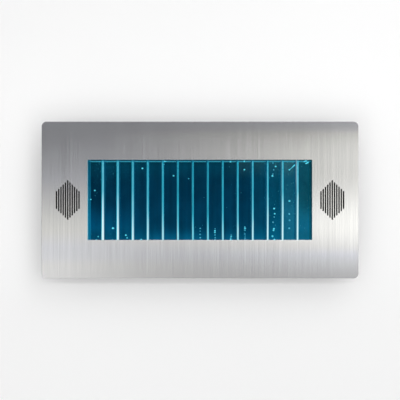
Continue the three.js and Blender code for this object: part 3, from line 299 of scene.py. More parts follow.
def painted_reflection_shade(look):
    """Painted shade and highlight in the sheet's reflection: how much darker or brighter it shows
    towards its top and bottom edges.
    """
    x, _, z = look.axes()
    down = look.span(z, plate_high, -plate_high)
    on_left = look.levels(
        down,
        (0.0, 0.955), (0.1, 0.96), (0.2, 1.0), (0.84, 1.01), (0.9, 1.045), (0.95, 1.065),
        (1.0, 1.05),
    )
    between = look.levels(
        down,
        (0.04, 0.885), (0.085, 0.96), (0.11, 0.985), (0.25, 1.0), (0.85, 1.0), (1.0, 1.03),
    )
    on_right = look.levels(
        down,
        (0.0, 0.95), (0.04, 0.97), (0.08, 1.07), (0.11, 1.07), (0.2, 1.0),
    )
    depth = look.blend(look.span(x, -0.3, -0.15), on_left, between)
    return look.blend(look.span(x, 0.26, 0.38), depth, on_right)


UPPER_TINT_FADE = (0.11, 0.24)  # along x
LEAST_TINT = 0.1


def lit_window_edge(look, tone, from_window, away):
    """The sheet's tone, tinted by the tank's light along the window's upper and left edges."""
    rightwards, _, upwards = look.parts(away)
    tinted = look.maths("MAXIMUM", upwards, look.maths("MULTIPLY", rightwards, -1.0))
    near_window = look.span(from_window, 0.0, TINTED_EDGE, 1.0, 0.0, True)
    tinted = look.maths("MULTIPLY", look.maths("MAXIMUM", tinted, LEAST_TINT), near_window)
    faded = look.span(look.axes()[0], *UPPER_TINT_FADE)
    upper = look.blend(faded, linear(12, 122, 146), linear(18, 72, 82))
    tint = look.blend(look.maths("MAXIMUM", upwards, 0.0), linear(30, 180, 208), upper)
    return look.blend(tinted, tone, tint)


FINE_GRAIN = (2200, 200, 20)
MIDDLE_GRAIN = (640, 30, 5)
BROAD_GRAIN = (90, 8, 0.8)
FINE_SHARE = 0.4  # of the fine grain in the fine and the middle one
GRAIN_SHARE = 0.94  # of those two in all three
STEEL_DARK = grey(0.64)
STEEL_LIGHT = grey(0.83)
STEEL_BACK = grey(0.42)
# Near-black of the painted shade on the slots' walls and rims
SLOT_SHADE = (0.02, 0.02, 0.021, 1.0)


def brushed_steel():
    """Sheet brushed upright, duller behind, with rounded-over edges and laser-cut slots, and painted
    shade on the slots' walls and rims.
    """
    look = Look("brushed_steel")
    fine = look.noise(FINE_GRAIN, 3.0, 0.6)
    middle = look.noise(MIDDLE_GRAIN, 2.0)
    broad = look.noise(BROAD_GRAIN, 1.0)
    grain = look.maths("MULTIPLY_ADD", fine, FINE_SHARE, look.maths("MULTIPLY", middle, 1 - FINE_SHARE))
    broad_part = look.maths("MULTIPLY", broad, 1 - GRAIN_SHARE)
    mixed = look.maths("MULTIPLY_ADD", grain, GRAIN_SHARE, broad_part)
    tone = look.mottled(mixed, STEEL_DARK, STEEL_LIGHT)
    # Painted warm and cool casts of the reflected light
    tone = look.blend(1.0, tone, painted_reflection_cast(look), "MULTIPLY")
    # Painted shade and highlight of the reflections, towards the top and bottom edges
    tone = look.blend(1.0, tone, painted_reflection_shade(look), "MULTIPLY")
    # Painted shade on the slots' walls and rims
    slot_shade = painted_slot_shade(look)
    outside, outward = look.outline(plate_wide, plate_high, PLATE_CORNER)
    plate_edge = look.span(outside, -BROKEN_EDGE, 0.0, 0.0, EDGE_LEAN, True)
    from_window, away = look.outline(WINDOW_WIDE, WINDOW_HIGH, WINDOW_CORNER)
    window_edge = look.span(from_window, 0.0, BROKEN_EDGE, 1.0, 0.0, True)
    normal = look.leaning(look.add("NewGeometry").outputs["Normal"], outward, plate_edge)
    normal = look.leaning(normal, away, look.maths("MULTIPLY", window_edge, WINDOW_LEAN))
    colour = lit_window_edge(look, tone, from_window, away)
    behind = look.span(look.facing()[1], 0.5, 0.7)
    colour = look.blend(behind, colour, STEEL_BACK)
    roughness = look.blend(behind, look.varied(mixed, 0.2, 0.22), grey(0.42))
    return look.finish({
        "Base Color": look.blend(slot_shade, colour, SLOT_SHADE),
        "Metallic": 1.0,
        "Roughness": look.blend(slot_shade, roughness, grey(0.6)),
        "Anisotropic": 0.92,
        "Anisotropic Rotation": 0.25,
        "Tangent": look.add("Tangent", direction_type="RADIAL", axis="X").outputs[0],
        "Normal": look.bump(grain, 0.00002, 0.12, normal),
    })


PAINT_DARK = (0.041, 0.043, 0.048, 1.0)
PAINT_LIGHT = (0.047, 0.049, 0.055, 1.0)


def box_paint():
    """Dark coating of the box and frame, with an orange peel."""
    look = Look("box_paint")
    orange_peel = look.noise((1500, 1500, 1500), 2.0)
    speckle = look.noise((5000, 5000, 5000), 1.0)
    height = look.maths("MULTIPLY_ADD", speckle, 0.3, orange_peel)
    cloud = look.noise((14, 14, 14), 2.0)
    return look.finish({
        "Base Color": look.mottled(cloud, PAINT_DARK, PAINT_LIGHT),
        "Roughness": look.varied(orange_peel, 0.42, 0.6),
        "Specular IOR Level": 0.4,
        "Normal": look.bump(height, 0.00012, 0.5),
    })


TANK_HALF = 0.121  # past the tank's lid and base, the glow fades along the filler neck and drain
NECK_FADE = 0.02
NECK_GLOW = 0.1
CLEAR_IOR = 1.04  # low, so that what lies behind hardly shifts
PANE_IOR = 1.49


def clear_acrylic(name, tint, glow, strength):
    """Clear sheet: nearly see-through, with a tinted glow where the light bar shines into it."""
    look = Look(name)
    haze = look.noise((60, 60, 25), 2.0)
    dimmer = tuple(0.8 * part for part in glow[:3]) + (1,)
    height = look.maths("ABSOLUTE", look.axes()[2])
    past_tank = look.span(height, TANK_HALF, TANK_HALF + NECK_FADE, strength, NECK_GLOW * strength)
    return look.finish({
        "Base Color": tint,
        "Roughness": look.varied(haze, 0.02, 0.06),
        "Transmission Weight": 1.0,
        "IOR": CLEAR_IOR,
        "Emission Color": look.blend(look.varied(haze, 0.0, 1.0), glow, dimmer),
        "Emission Strength": past_tank,
    })


def front_acrylic():
    """The clear front pane: polished, with hardly any tint."""
    look = Look("front_acrylic")
    wiped = look.noise((30, 30, 45), 3.0)
    return look.finish({
        "Base Color": look.mottled(wiped, (0.97, 0.99, 1.0, 1), (1.0, 1.0, 1.0, 1)),
        "Roughness": 0.0,
        "Transmission Weight": 1.0,
        "IOR": PANE_IOR,
        "Specular Tint": grey(0.0),
    })


def end_acrylic(name, front, back):
    """An end wall of the tank, lit by the bar below, in other colours at its front and back."""
    look = Look(name)
    _, y, z = look.axes()
    streaks = look.noise((40, 120, 9), 2.0)
    along = look.blend(look.span(y, front_face, rear_face, 0.0, 1.0, True), front, back)
    upwards = look.span(z, -0.04, 0.1, 1.0, 0.5)
    gain = look.maths("MULTIPLY", look.varied(streaks, 0.85, 1.15), upwards)
    return look.finish({
        "Base Color": linear(6, 50, 64),
        "Roughness": look.varied(streaks, 0.15, 0.3),
        "Emission Color": look.scaled(along, gain),
        "Emission Strength": 1.0,
    })


# Light in the dividers' front edges: everywhere, added outwards, at the foot and by streaks
EVEN_LIGHT = 0.27
OUTER_LIGHT = 0.85
FOOT_LIGHT = 0.30
STREAK_LIGHT = 0.26
SHEET_STREAKS = (300, 30, 22)
BROKEN_SHARE = 0.45
ABOVE_WATER_SHARE = 0.75


def edge_light(look):
    """How brightly the sheets' front edges glow: most at the foot, and more towards the tank's ends."""
    x, _, z = look.axes()
    outer = look.maths("POWER", look.span(look.maths("ABSOLUTE", x), 0.0, tank_right), 1.5)
    fallen = look.levels(
        look.span(z, -0.1, 0.1),
        (0.0, 1.0), (0.3, 0.85), (0.47, 0.7), (0.62, 0.36), (1.0, 0.34),
    )
    foot = look.span(z, -0.1, -0.02, FOOT_LIGHT, 0.0, True)
    streaks = look.noise(SHEET_STREAKS, 3.0)
    level = look.maths("MULTIPLY_ADD", look.maths("MULTIPLY", outer, fallen), OUTER_LIGHT, foot)
    level = look.maths("ADD", level, EVEN_LIGHT)
    level = look.maths("MULTIPLY_ADD", look.maths("SUBTRACT", streaks, 0.5), STREAK_LIGHT, level)
    # Small bubbles break it up near the top, and it is dull above the water
    broken = look.span(look.noise((420, 60, 420), 1.0), 0.54, 0.64, 0.0, BROKEN_SHARE)
    broken = look.maths("MULTIPLY", broken, look.span(z, 0.05, 0.095))
    under, over = WATER_LEVEL - 0.5 * MM, WATER_LEVEL + 0.9 * MM
    above = look.span(z, under, over, 0.0, ABOVE_WATER_SHARE)
    dulled = look.maths("SUBTRACT", 1.0, look.maths("MAXIMUM", broken, above))
    return look.maths("MULTIPLY", level, dulled)


def from_sheet(look, x):
    """Distance to the right of the nearest divider's middle."""
    pitches = look.maths("DIVIDE", look.maths("SUBTRACT", x, tank_left), channel_pitch)
    middle = look.maths("MULTIPLY_ADD", look.maths("ROUND", pitches), channel_pitch, tank_left)
    return look.maths("SUBTRACT", x, middle)


def white_light(look, level):
    """A sheet's light as a colour: blue where it is weak and nearly white where it is strong."""
    return look.ramp(
        level,
        (0.0, linear(2, 58, 82)),
        (0.15, linear(12, 112, 138)),
        (0.32, linear(44, 160, 184)),
        (0.55, linear(124, 198, 216)),
        (0.8, linear(192, 230, 240)),
        (1.0, linear(226, 246, 250)),
    )


def cyan_light(look, level):
    """The same light in the cement, which stays cyan."""
    return look.ramp(
        level,
        (0.0, linear(2, 62, 86)),
        (0.2, linear(8, 108, 134)),
        (0.4, linear(30, 144, 170)),
        (0.65, linear(44, 174, 202)),
        (0.85, linear(90, 200, 222)),
        (1.0, linear(150, 222, 234)),
    )


def divider_acrylic():
    """A clear sheet that carries light up from its foot and lets it out at its front edge."""
    look = Look("divider_acrylic")
    x, y, z = look.axes()
    nx, ny, _ = look.facing()
    level = edge_light(look)
    streaks = look.noise(SHEET_STREAKS, 3.0)
    rightwards = look.span(nx, -0.5, 0.5)
    depth = look.span(y, front_face, rear_face)
    faded = look.span(depth, 0.02, 0.3, 1.0, 0.0, True)
    share = look.span(rightwards, 0.0, 1.0, 0.10, 0.30)
    upper = look.span(z, 0.0, 0.05)
    sides = look.maths("MULTIPLY", look.maths("MULTIPLY", level, faded), share)
    on_edge = look.span(look.maths("ABSOLUTE", ny), 0.4, 0.6)
    dull_half = look.span(from_sheet(look, x), -divider_half, 0.0, 1.0, 0.0)
    duller = look.maths("MULTIPLY", upper, look.span(x, -0.25, -0.1, 0.55, 0.1))
    duller = look.maths("MAXIMUM", duller, look.span(x, -0.1, 0.2, 0.1, 0.75))
    dull_half = look.maths("MULTIPLY", dull_half, duller)
    front = look.maths("MULTIPLY", level, look.maths("SUBTRACT", 1.0, dull_half))
    shown_level = look.add("Mix", {0: on_edge, 2: sides, 3: front}).outputs[0]
    return look.finish({
        "Base Color": linear(8, 50, 64),
        "Roughness": look.varied(streaks, 0.1, 0.2),
        "Specular IOR Level": 0.1,
        "Emission Color": white_light(look, shown_level),
        "Emission Strength": 1.0,
    })


def bond_fillet():
    """Cement in the corner of a sheet and the front pane: it catches the sheet's light."""
    look = Look("bond_fillet")
    x, _, z = look.axes()
    level = edge_light(look)
    on_right = look.span(from_sheet(look, x), -0.1 * MM, 0.1 * MM)
    inner = white_light(look, look.maths("MULTIPLY", level, 0.7))
    outer = cyan_light(look, look.maths("MULTIPLY", level, 1.5))
    right = look.blend(look.span(x, -0.17, -0.06), inner, outer)
    dark = linear(2, 56, 80)
    left = cyan_light(look, look.maths("MULTIPLY", level, 0.8))
    left = look.blend(look.span(x, -0.2, -0.06), left, dark)
    pale_top = look.maths("MULTIPLY", look.span(z, 0.02, 0.06), look.span(x, 0.235, 0.24))
    pale = look.blend(pale_top, linear(62, 112, 124), linear(128, 164, 178))
    left = look.blend(look.span(x, 0.18, 0.21), left, pale)
    return look.finish({
        "Base Color": linear(8, 50, 64),
        "Roughness": 0.2,
        "Specular IOR Level": 0.1,
        "Emission Color": look.blend(on_right, left, right),
        "Emission Strength": 1.0,
    })


def water_light(look, clouds):
    """The water's light on the rear pane, by height."""
    x, _, z = look.axes()
    height = look.span(z, -WINDOW_HIGH, WINDOW_HIGH)
    upright = look.ramp(
        height,
        (0.0, linear(5, 84, 116)),
        (0.07, linear(2, 71, 101)),
        (0.2, linear(1, 60, 89)),
        (0.5, linear(1, 48, 73)),
        (0.75, linear(1, 46, 69)),
        (0.93, linear(2, 56, 77)),
        (0.985, linear(1, 50, 68)),
        (1.0, linear(1, 44, 60)),
    )
    streaks = look.noise((70, 10, 3), 2.0)
    mottle = look.maths("MULTIPLY_ADD", streaks, 0.5, look.maths("MULTIPLY", clouds, 0.5))
    first = look.span(x, tank_left + 0.9 * channel_pitch, tank_left + 1.1 * channel_pitch, 0.78, 1.0)
    outer = look.maths("POWER", look.span(look.maths("ABSOLUTE", x), 0.0, tank_right), 3.0)
    low = look.maths("MULTIPLY", look.span(height, 0.05, 0.14), look.span(height, 0.2, 0.45, 1.0, 0.0))
    low_gain = look.maths("MULTIPLY_ADD", low, look.maths("MULTIPLY_ADD", outer, 1.1, -0.24), 1.0)
    gain = look.maths("MULTIPLY", first, low_gain)
    gain = look.maths("MULTIPLY", look.span(mottle, 0.25, 0.75, 0.6, 1.4), gain)
    return look.scaled(upright, gain)


def painted_pane_reflection(look, lit, clouds, specks):
    """That light under a painted reflection of soft light in the front pane, in the last four channels,
    greener high up in the last one.
    """
    x, _, z = look.axes()
    place = look.span(x, tank_right - 4 * channel_pitch, tank_right)
    # haze here is the level of the painted reflection
    haze = look.levels(
        place,
        (0.0, 0.0), (0.03, 0.1), (0.24, 0.12), (0.26, 0.3), (0.49, 0.3), (0.51, 0.52),
        (0.74, 0.56), (0.76, 0.5),
    )
    haze = look.maths("MULTIPLY", haze, look.varied(clouds, 0.75, 1.2))
    haze = look.maths("MULTIPLY", haze, look.levels(
        look.span(z, -0.05, 0.08),
        (0.0, 1.0), (0.45, 0.86), (1.0, 0.66),
    ))
    reflection_colour = look.ramp(
        place,
        (0.0, linear(8, 106, 134)),
        (0.49, linear(8, 106, 134)),
        (0.51, linear(30, 116, 142)),
        (0.74, linear(30, 116, 142)),
        (0.76, linear(24, 112, 136)),
    )
    greener = look.maths("MULTIPLY", look.span(place, 0.74, 0.76), look.span(z, -0.06, 0.0))
    reflection_colour = look.blend(greener, reflection_colour, linear(22, 98, 110))
    haze = look.maths("MULTIPLY", haze, look.varied(specks, 0.8, 1.2))
    return look.blend(haze, lit, reflection_colour)


def speckled_water(look, with_reflection, specks):
    """That light with fine bubbles over it, and a painted pale reflection towards the top of the last
    channels.
    """
    x, _, z = look.axes()
    dots = look.span(look.noise((620, 620, 620), 0.0), 0.68, 0.76)
    dots = look.maths("MULTIPLY", dots, look.levels(
        look.span(x, tank_left, tank_right),
        (0.0, 0.5), (0.2, 0.4), (0.3, 0.1), (0.66, 0.1), (0.8, 0.5),
    ))
    dots = look.maths("MULTIPLY", dots, look.span(z, 0.02, 0.08, 0.12, 1.0))
    # Painted reflection, palest high up in the second-last channel
    top = look.maths("MULTIPLY", look.span(z, 0.055, 0.097), look.levels(
        look.span(x, tank_right - 6 * channel_pitch, tank_right),
        (0.0, 0.0), (0.1, 0.03), (0.16, 0.03), (0.18, 0.09), (0.33, 0.09), (0.49, 0.07),
        (0.51, 0.1), (0.66, 0.1), (0.68, 0.27), (0.82, 0.27), (0.84, 0.02),
    ))
    top = look.maths("MULTIPLY", top, look.varied(specks, 0.6, 1.3))
    with_top_reflection = look.blend(top, with_reflection, linear(84, 124, 112))
    return look.blend(dots, with_top_reflection, linear(40, 150, 176))


def blue_acrylic():
    """The dark blue rear pane, whose front shows the water's light."""
    look = Look("blue_acrylic")
    clouds = look.noise((22, 10, 14), 3.0)
    specks = look.noise((260, 260, 200), 2.0)
    with_reflection = painted_pane_reflection(look, water_light(look, clouds), clouds, specks)
    return look.finish({
        "Base Color": linear(1, 16, 24),
        "Roughness": look.varied(clouds, 0.2, 0.35),
        "Specular IOR Level": 0.02,
        "Emission Color": speckled_water(look, with_reflection, specks),
        "Emission Strength": look.span(look.facing()[1], -0.5, 0.0, 1.0, 0.0),
    })


def foam():
    """Black closed-cell foam."""
    look = Look("foam")
    cell = look.cells((1400, 1400, 1400))
    return look.finish({
        "Base Color": look.ramp(cell, (0.1, grey(0.006)), (0.8, grey(0.016))),
        "Roughness": 0.95,
        "Normal": look.bump(cell, 0.0003, 0.8),
    })


def grille_cloth():
    """Black woven cloth."""
    look = Look("grille_cloth")
    threads = {"Vector": look.place, "Scale": 230.0}
    warp = look.add("TexWave", threads, bands_direction="X")
    weft = look.add("TexWave", threads, bands_direction="Z")
    weave = look.maths("MULTIPLY", warp.outputs["Fac"], weft.outputs["Fac"])
    return look.finish({
        "Base Color": look.ramp(weave, (0.0, grey(0.001)), (0.8, (0.006, 0.0063, 0.0075, 1))),
        "Roughness": 0.92,
        "Specular IOR Level": 0.2,
        "Normal": look.bump(weave, 0.0002, 0.8),
    })


def moulded(name, dark, light, roughness, grain=900):
    """A moulded or coated surface with a fine grain and a slightly clouded colour."""
    look = Look(name)
    fine = look.noise((grain, grain, grain), 3.0)
    cloud = look.noise((35, 35, 35), 2.0)
    return look.finish({
        "Base Color": look.mottled(cloud, dark, light),
        "Roughness": look.varied(fine, roughness - 0.08, roughness + 0.08),
        "Normal": look.bump(fine, 0.0001, 0.35),
    })


def drawn_metal(name, dark, light, roughness, scale):
    """Metal with fine lines along its length."""
    look = Look(name)
    lines = look.noise(scale, 3.0)
    return look.finish({
        "Base Color": look.mottled(lines, dark, light),
        "Metallic": 1.0,
        "Roughness": look.varied(lines, roughness - 0.07, roughness + 0.07),
        "Normal": look.bump(lines, 0.00003, 0.4),
    })


def led_board():
    """White board with a row of lit lenses along its top."""
    look = Look("led_board")
    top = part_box("led_strip")[1].z
    lens = look.span(look.axes()[2], top - 0.4 * MM, top - 0.2 * MM)
    print_lines = look.noise((900, 900, 50), 1.0)
    return look.finish({
        "Base Color": look.ramp(print_lines, (0.4, grey(0.7)), (0.6, (0.8, 0.84, 0.84, 1))),
        "Roughness": 0.35,
        "Emission Color": look.blend(lens, grey(0.0), linear(190, 250, 255)),
        "Emission Strength": 6.0,
    })


BOARD_RISE = 7.9 * MM  # of the board's front over its standoffs' feet


def circuit_board():
    """Green board with black parts on its front."""
    look = Look("circuit_board")
    tracks = look.add("TexBrick", {"Vector": look.stretched((260, 260, 260)), "Scale": 1.0})
    board_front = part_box("control_board")[1].y - BOARD_RISE
    parts = look.span(look.axes()[1], board_front - 1.4 * MM, board_front - 1.2 * MM, 1.0, 0.0)
    solder_mask = look.blend(tracks.outputs["Fac"], linear(22, 92, 66), linear(40, 120, 84))
    black = look.noise((300, 300, 300), 1.0)
    bodies = look.mottled(black, grey(0.012), grey(0.03))
    return look.finish({
        "Base Color": look.blend(parts, solder_mask, bodies),
        "Roughness": 0.4,
        "Normal": look.bump(tracks.outputs["Fac"], 0.00005, 0.5),
    })


def clear_tube():
    """Soft clear tube, slightly clouded."""
    look = Look("clear_tube")
    haze = look.noise((80, 80, 80), 2.0)
    return look.finish({
        "Base Color": look.mottled(haze, (0.5, 0.56, 0.58, 1), (0.66, 0.72, 0.74, 1)),
        "Roughness": look.varied(haze, 0.15, 0.3),
        "Transmission Weight": 0.45,
        "IOR": 1.4,
    })


CLEAR = (0.93, 0.985, 1.0, 1.0)
DARK_COPPER = (0.32, 0.09, 0.035, 1.0)
LIGHT_COPPER = (0.5, 0.17, 0.07, 1.0)

slot_looks = {
    "brushed_steel": brushed_steel(),
    "box_paint": box_paint(),
    "clear_acrylic": clear_acrylic("clear_acrylic", CLEAR, linear(10, 90, 115), 0.35),
    "divider_acrylic": divider_acrylic(),
    "blue_acrylic": blue_acrylic(),
    "foam": foam(),
    "grille_cloth": grille_cloth(),
    "black_plastic": moulded("black_plastic", grey(0.010), grey(0.016), 0.42),
    "white_plastic": moulded("white_plastic", (0.7, 0.7, 0.68, 1), (0.78, 0.78, 0.77, 1), 0.4),
    "grey_rubber": moulded("grey_rubber", grey(0.06), grey(0.08), 0.72, 1400),
    "aluminium": drawn_metal("aluminium", grey(0.6), grey(0.72), 0.3, (12, 2500, 2500)),
    "led_board": led_board(),
    "circuit_board": circuit_board(),
    "copper_winding": drawn_metal("copper_winding", DARK_COPPER, LIGHT_COPPER, 0.35, (2600, 20, 20)),
    "motor_steel": drawn_metal("motor_steel", grey(0.2), grey(0.3), 0.4, (60, 2500, 60)),
    "cone_paper": moulded("cone_paper", grey(0.012), grey(0.022), 0.85, 700),
    "clear_tube": clear_tube(),
    "wire": moulded("wire", grey(0.009), grey(0.014), 0.45, 1200),
}
own_looks = {
    "tank_front_pane": front_acrylic(),
    "tank_left_end": end_acrylic("lit_end", linear(10, 94, 120), linear(9, 100, 132)),
    "tank_right_end": end_acrylic("dim_end", linear(2, 34, 40), linear(4, 60, 70)),
}

for entry in frame["record"]["subparts"]:
    name = entry["node"]
    surface = own_looks.get(name, slot_looks[entry["material_slot"]])
    materials = nodes[name].data.materials
    materials.clear()
    materials.append(surface)


def shown(name, mesh, surface, body="housing"):
    """A new piece of the object, riding on a body."""
    mesh.materials.append(surface)
    piece = bpy.data.objects.new(name, mesh)
    bpy.context.scene.collection.objects.link(piece)
    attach(piece, body)
    return piece


def mesh_from(name, shape, smooth=True):
    """The mesh of a shape under construction, with its faces turned outwards."""
    mesh = bpy.data.meshes.new(name)
    bmesh.ops.recalc_face_normals(shape, faces=shape.faces)
    shape.to_mesh(mesh)
    shape.free()
    for face in mesh.polygons:
        face.use_smooth = smooth
    return mesh


# Low screws that hold the front frame to the box's folded lips
SCREW_PLACES = (-340, -113, 113, 340)
SCREW_DROP = 5 * MM  # from the frame's upper and lower edges
SCREW_HEAD = 3.2 * MM
SCREW_HEIGHT = 1.1 * MM
SCREW_SOCKET = 1.3 * MM
SCREW_GAP = 0.05 * MM
SCREW_SIDES = 24


def screw_head(shape, middle):
    """A rounded-over head that faces the plate, with a six-sided socket."""
    steps = (
        (SCREW_HEAD, 0.0),
        (SCREW_HEAD, 0.6),
        (0.82 * SCREW_HEAD, 1.0),
        (SCREW_SOCKET, 1.0),
        (SCREW_SOCKET, 0.3),
    )
    rings = []
    for radius, rise in steps:
        ring = []
        for n in range(SCREW_SIDES):
            turn = 2 * math.pi * n / SCREW_SIDES
            reach = radius
            if radius == SCREW_SOCKET:
                reach /= math.cos((turn + math.pi / 6) % (math.pi / 3) - math.pi / 6)
            offset = Vector((reach * math.cos(turn), -rise * SCREW_HEIGHT, reach * math.sin(turn)))
            ring.append(shape.verts.new(middle + offset))
        rings.append(ring)
    for inner, outer in zip(rings, rings[1:]):
        for n in range(SCREW_SIDES):
            after = (n + 1) % SCREW_SIDES
            shape.faces.new((inner[n], inner[after], outer[after], outer[n]))
    shape.faces.new(rings[0])
    shape.faces.new(rings[-1])


def frame_screws():
    """All the screws as one piece."""
    low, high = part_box("front_frame")
    shape = bmesh.new()
    for across in SCREW_PLACES:
        for z in (low.z + SCREW_DROP, high.z - SCREW_DROP):
            screw_head(shape, Vector((across * MM, low.y - SCREW_GAP, z)))
    mesh = mesh_from("frame_screws", shape, False)
    shown("frame_screws", mesh, slot_looks["motor_steel"])


frame_screws()

# Water and bubbles
WATER_GAP = 0.3 * MM
MENISCUS_RISE = 0.4 * MM
MENISCUS_REACH = 1.6 * MM
TOP_STEPS = 12
BUBBLE_DEPTH = 32 * MM


def clear_water():
    """Water that hardly bends what lies behind it."""
    look = Look("clear_water")
    swirl = look.noise((40, 40, 12), 2.0)
    return look.finish({
        "Base Color": look.mottled(swirl, (0.90, 0.97, 1.0, 1), (0.97, 1.0, 1.0, 1)),
        "Roughness": 0.0,
        "Transmission Weight": 1.0,
        "IOR": 1.0,
    })


def water_skin():
    """The underside of the surface, with the lit channel below it painted on as its reflection."""
    look = Look("water_skin")
    ripple = look.noise((120, 160, 10), 2.0)
    return look.finish({
        "Base Color": linear(10, 60, 76),
        "Roughness": 0.15,
        "Emission Color": look.mottled(ripple, linear(30, 118, 140), linear(58, 154, 176)),
        "Emission Strength": 1.0,
    })


def bubble_film(name, middle, rim):
    """A bubble: a lit rim round a dimmer middle."""
    look = Look(name)
    edge = look.add("LayerWeight", {"Blend": 0.45}).outputs["Facing"]
    speckle = look.noise((400, 400, 400), 1.0)
    lit = look.maths("MULTIPLY_ADD", speckle, 0.3, look.maths("SUBTRACT", edge, 0.1))
    return look.finish({
        "Base Color": linear(120, 190, 205),
        "Roughness": 0.08,
        "Emission Color": look.ramp(lit, (0.1, middle), (0.75, rim)),
        "Emission Strength": 1.0,
    })


water_looks = (clear_water(), water_skin())
bright_film = bubble_film("bright_bubble", linear(44, 182, 198), linear(96, 212, 224))
faint_film = bubble_film("faint_bubble", linear(16, 112, 138), linear(44, 150, 174))


def channel_middle(number):
    """The x of the middle of a channel, counted from 1 at the left."""
    return tank_left + (number - 0.5) * channel_pitch


def meniscus(distance):
    """How far the surface climbs at a wall, for a distance from it."""
    return MENISCUS_RISE * math.exp(-distance / MENISCUS_REACH)


def water_in(number):
    """The water of one channel: flat sides a hair off the walls, and a top that curls up at them."""
    middle = channel_middle(number)
    half = channel_pitch / 2 - divider_half - WATER_GAP
    near = front_face + WATER_GAP
    far = rear_face - WATER_GAP
    shape = bmesh.new()
    turns = [math.pi * n / TOP_STEPS for n in range(TOP_STEPS + 1)]
    across = [middle - half * math.cos(turn) for turn in turns]
    along = [near + (far - near) * (1 - math.cos(turn)) / 2 for turn in turns]
    top = []
    for x in across:
        row = []
        for y in along:
            walls = min(half - abs(x - middle), y - near, far - y)
            row.append(shape.verts.new((x, y, WATER_LEVEL + meniscus(walls))))
        top.append(row)
    for a in range(TOP_STEPS):
        for b in range(TOP_STEPS):
            face = shape.faces.new((top[a][b], top[a + 1][b], top[a + 1][b + 1], top[a][b + 1]))
            face.material_index = 1
    rim = [top[n][0] for n in range(TOP_STEPS)]
    rim += [top[TOP_STEPS][n] for n in range(TOP_STEPS)]
    rim += [top[n][TOP_STEPS] for n in range(TOP_STEPS, 0, -1)]
    rim += [top[0][n] for n in range(TOP_STEPS, 0, -1)]
    low = [shape.verts.new((v.co.x, v.co.y, tank_floor + WATER_GAP)) for v in rim]
    for n, upper in enumerate(rim):
        after = (n + 1) % len(rim)
        shape.faces.new((upper, low[n], low[after], rim[after]))
    shape.faces.new(low)
    name = f"water_{number:02d}"
    piece = shown(name, mesh_from(name, shape, False), water_looks[0])
    piece.data.materials.append(water_looks[1])


for number in range(1, CHANNELS + 1):
    water_in(number)

FILLET_SIZE = 1.8 * MM
FILLET_STEPS = 4
fillet_look = bond_fillet()


def fillets(number):
    """The hollow fillets of cement where a divider meets the front pane, one down each side."""
    low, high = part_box(f"divider_{number:02d}")
    shape = bmesh.new()
    for side, sheet in ((-1, low.x), (1, high.x)):
        profile = [(0.0, 0.0)]
        for n in range(FILLET_STEPS + 1):
            turn = math.pi / 2 * n / FILLET_STEPS
            profile.append((FILLET_SIZE * (1 - math.sin(turn)), FILLET_SIZE * (1 - math.cos(turn))))
        rings = []
        for z in (low.z, high.z):
            places = [(sheet + side * across, low.y + deep, z) for across, deep in profile]
            rings.append([shape.verts.new(place) for place in places])
        count = len(profile)
        for n in range(count):
            after = (n + 1) % count
            shape.faces.new((rings[0][n], rings[0][after], rings[1][after], rings[1][n]))
        shape.faces.new(rings[0])
        shape.faces.new(rings[1])
    name = f"bond_fillets_{number:02d}"
    shown(name, mesh_from(name, shape, False), fillet_look)


for number in range(1, CHANNELS):
    fillets(number)

# Bubbles by their place in the photograph: pixels across and down, size, whether they catch the light
LONE_BUBBLES = (
    (94.9, 190.4, 1.1, True),
    (90.9, 199.4, 1.0, True),
    (98.2, 236.5, 0.8, True),
    (96.4, 239.6, 0.8, True),
    (112.5, 239.5, 0.8, False),
    (113.0, 228.1, 1.55, True),
    (125.9, 235.0, 1.3, True),
    (127.1, 237.7, 1.0, True),
    (141.2, 239.5, 1.2, True),
    (142.4, 168.3, 1.25, True),
    (164.0, 164.2, 0.8, False),
    (164.6, 161.4, 1.1, True),
    (173.5, 175.7, 1.15, True),
    (188.6, 178.6, 0.9, False),
    (230.5, 161.6, 1.3, True),
    (237.6, 161.5, 1.0, True),
    (244.2, 161.3, 1.3, True),
    (244.3, 169.6, 1.2, True),
    (272.9, 163.0, 0.9, False),
    (275.6, 166.4, 1.2, True),
    (273.6, 169.8, 0.9, False),
    (272.3, 175.8, 1.35, True),
    (272.8, 174.0, 0.9, False),
    (289.3, 169.7, 1.1, True),
    (289.3, 200.9, 1.35, True),
    (289.1, 213.9, 1.2, False),
    (289.4, 220.2, 1.3, False),
    (289.1, 228.1, 1.3, False),
)
# Streams of bubbles, each from its top down, with the same values
STREAMS = (
    (
        (200.2, 228.3, 1.0, False),
        (200.1, 231.0, 0.7, False),
        (200.1, 234.3, 1.1, False),
        (200.2, 237.6, 1.2, False),
    ),
    (
        (215.0, 228.6, 0.9, False),
        (214.9, 230.6, 1.2, True),
        (214.8, 232.3, 1.2, True),
        (214.9, 234.9, 1.1, False),
        (215.1, 237.6, 1.1, False),
        (215.0, 239.7, 1.1, False),
    ),
    (
        (231.2, 234.9, 0.9, False),
        (231.1, 236.5, 1.0, True),
        (230.6, 238.2, 1.2, False),
        (230.8, 239.7, 1.2, True),
    ),
    (
        (244.8, 226.6, 0.8, False),
        (244.9, 228.1, 1.35, True),
        (244.8, 230.0, 1.1, False),
        (244.7, 233.9, 1.1, False),
        (244.9, 236.0, 0.8, False),
        (245.0, 238.1, 1.1, False),
        (244.9, 239.8, 0.9, False),
    ),
    (
        (274.0, 208.5, 1.25, True),
        (274.6, 213.6, 1.2, True),
        (274.1, 216.9, 0.9, False),
        (273.0, 222.1, 1.1, False),
        (273.8, 228.6, 1.25, True),
        (273.4, 230.2, 1.2, True),
        (272.3, 236.0, 1.25, True),
        (274.3, 239.4, 1.3, True),
    ),
)
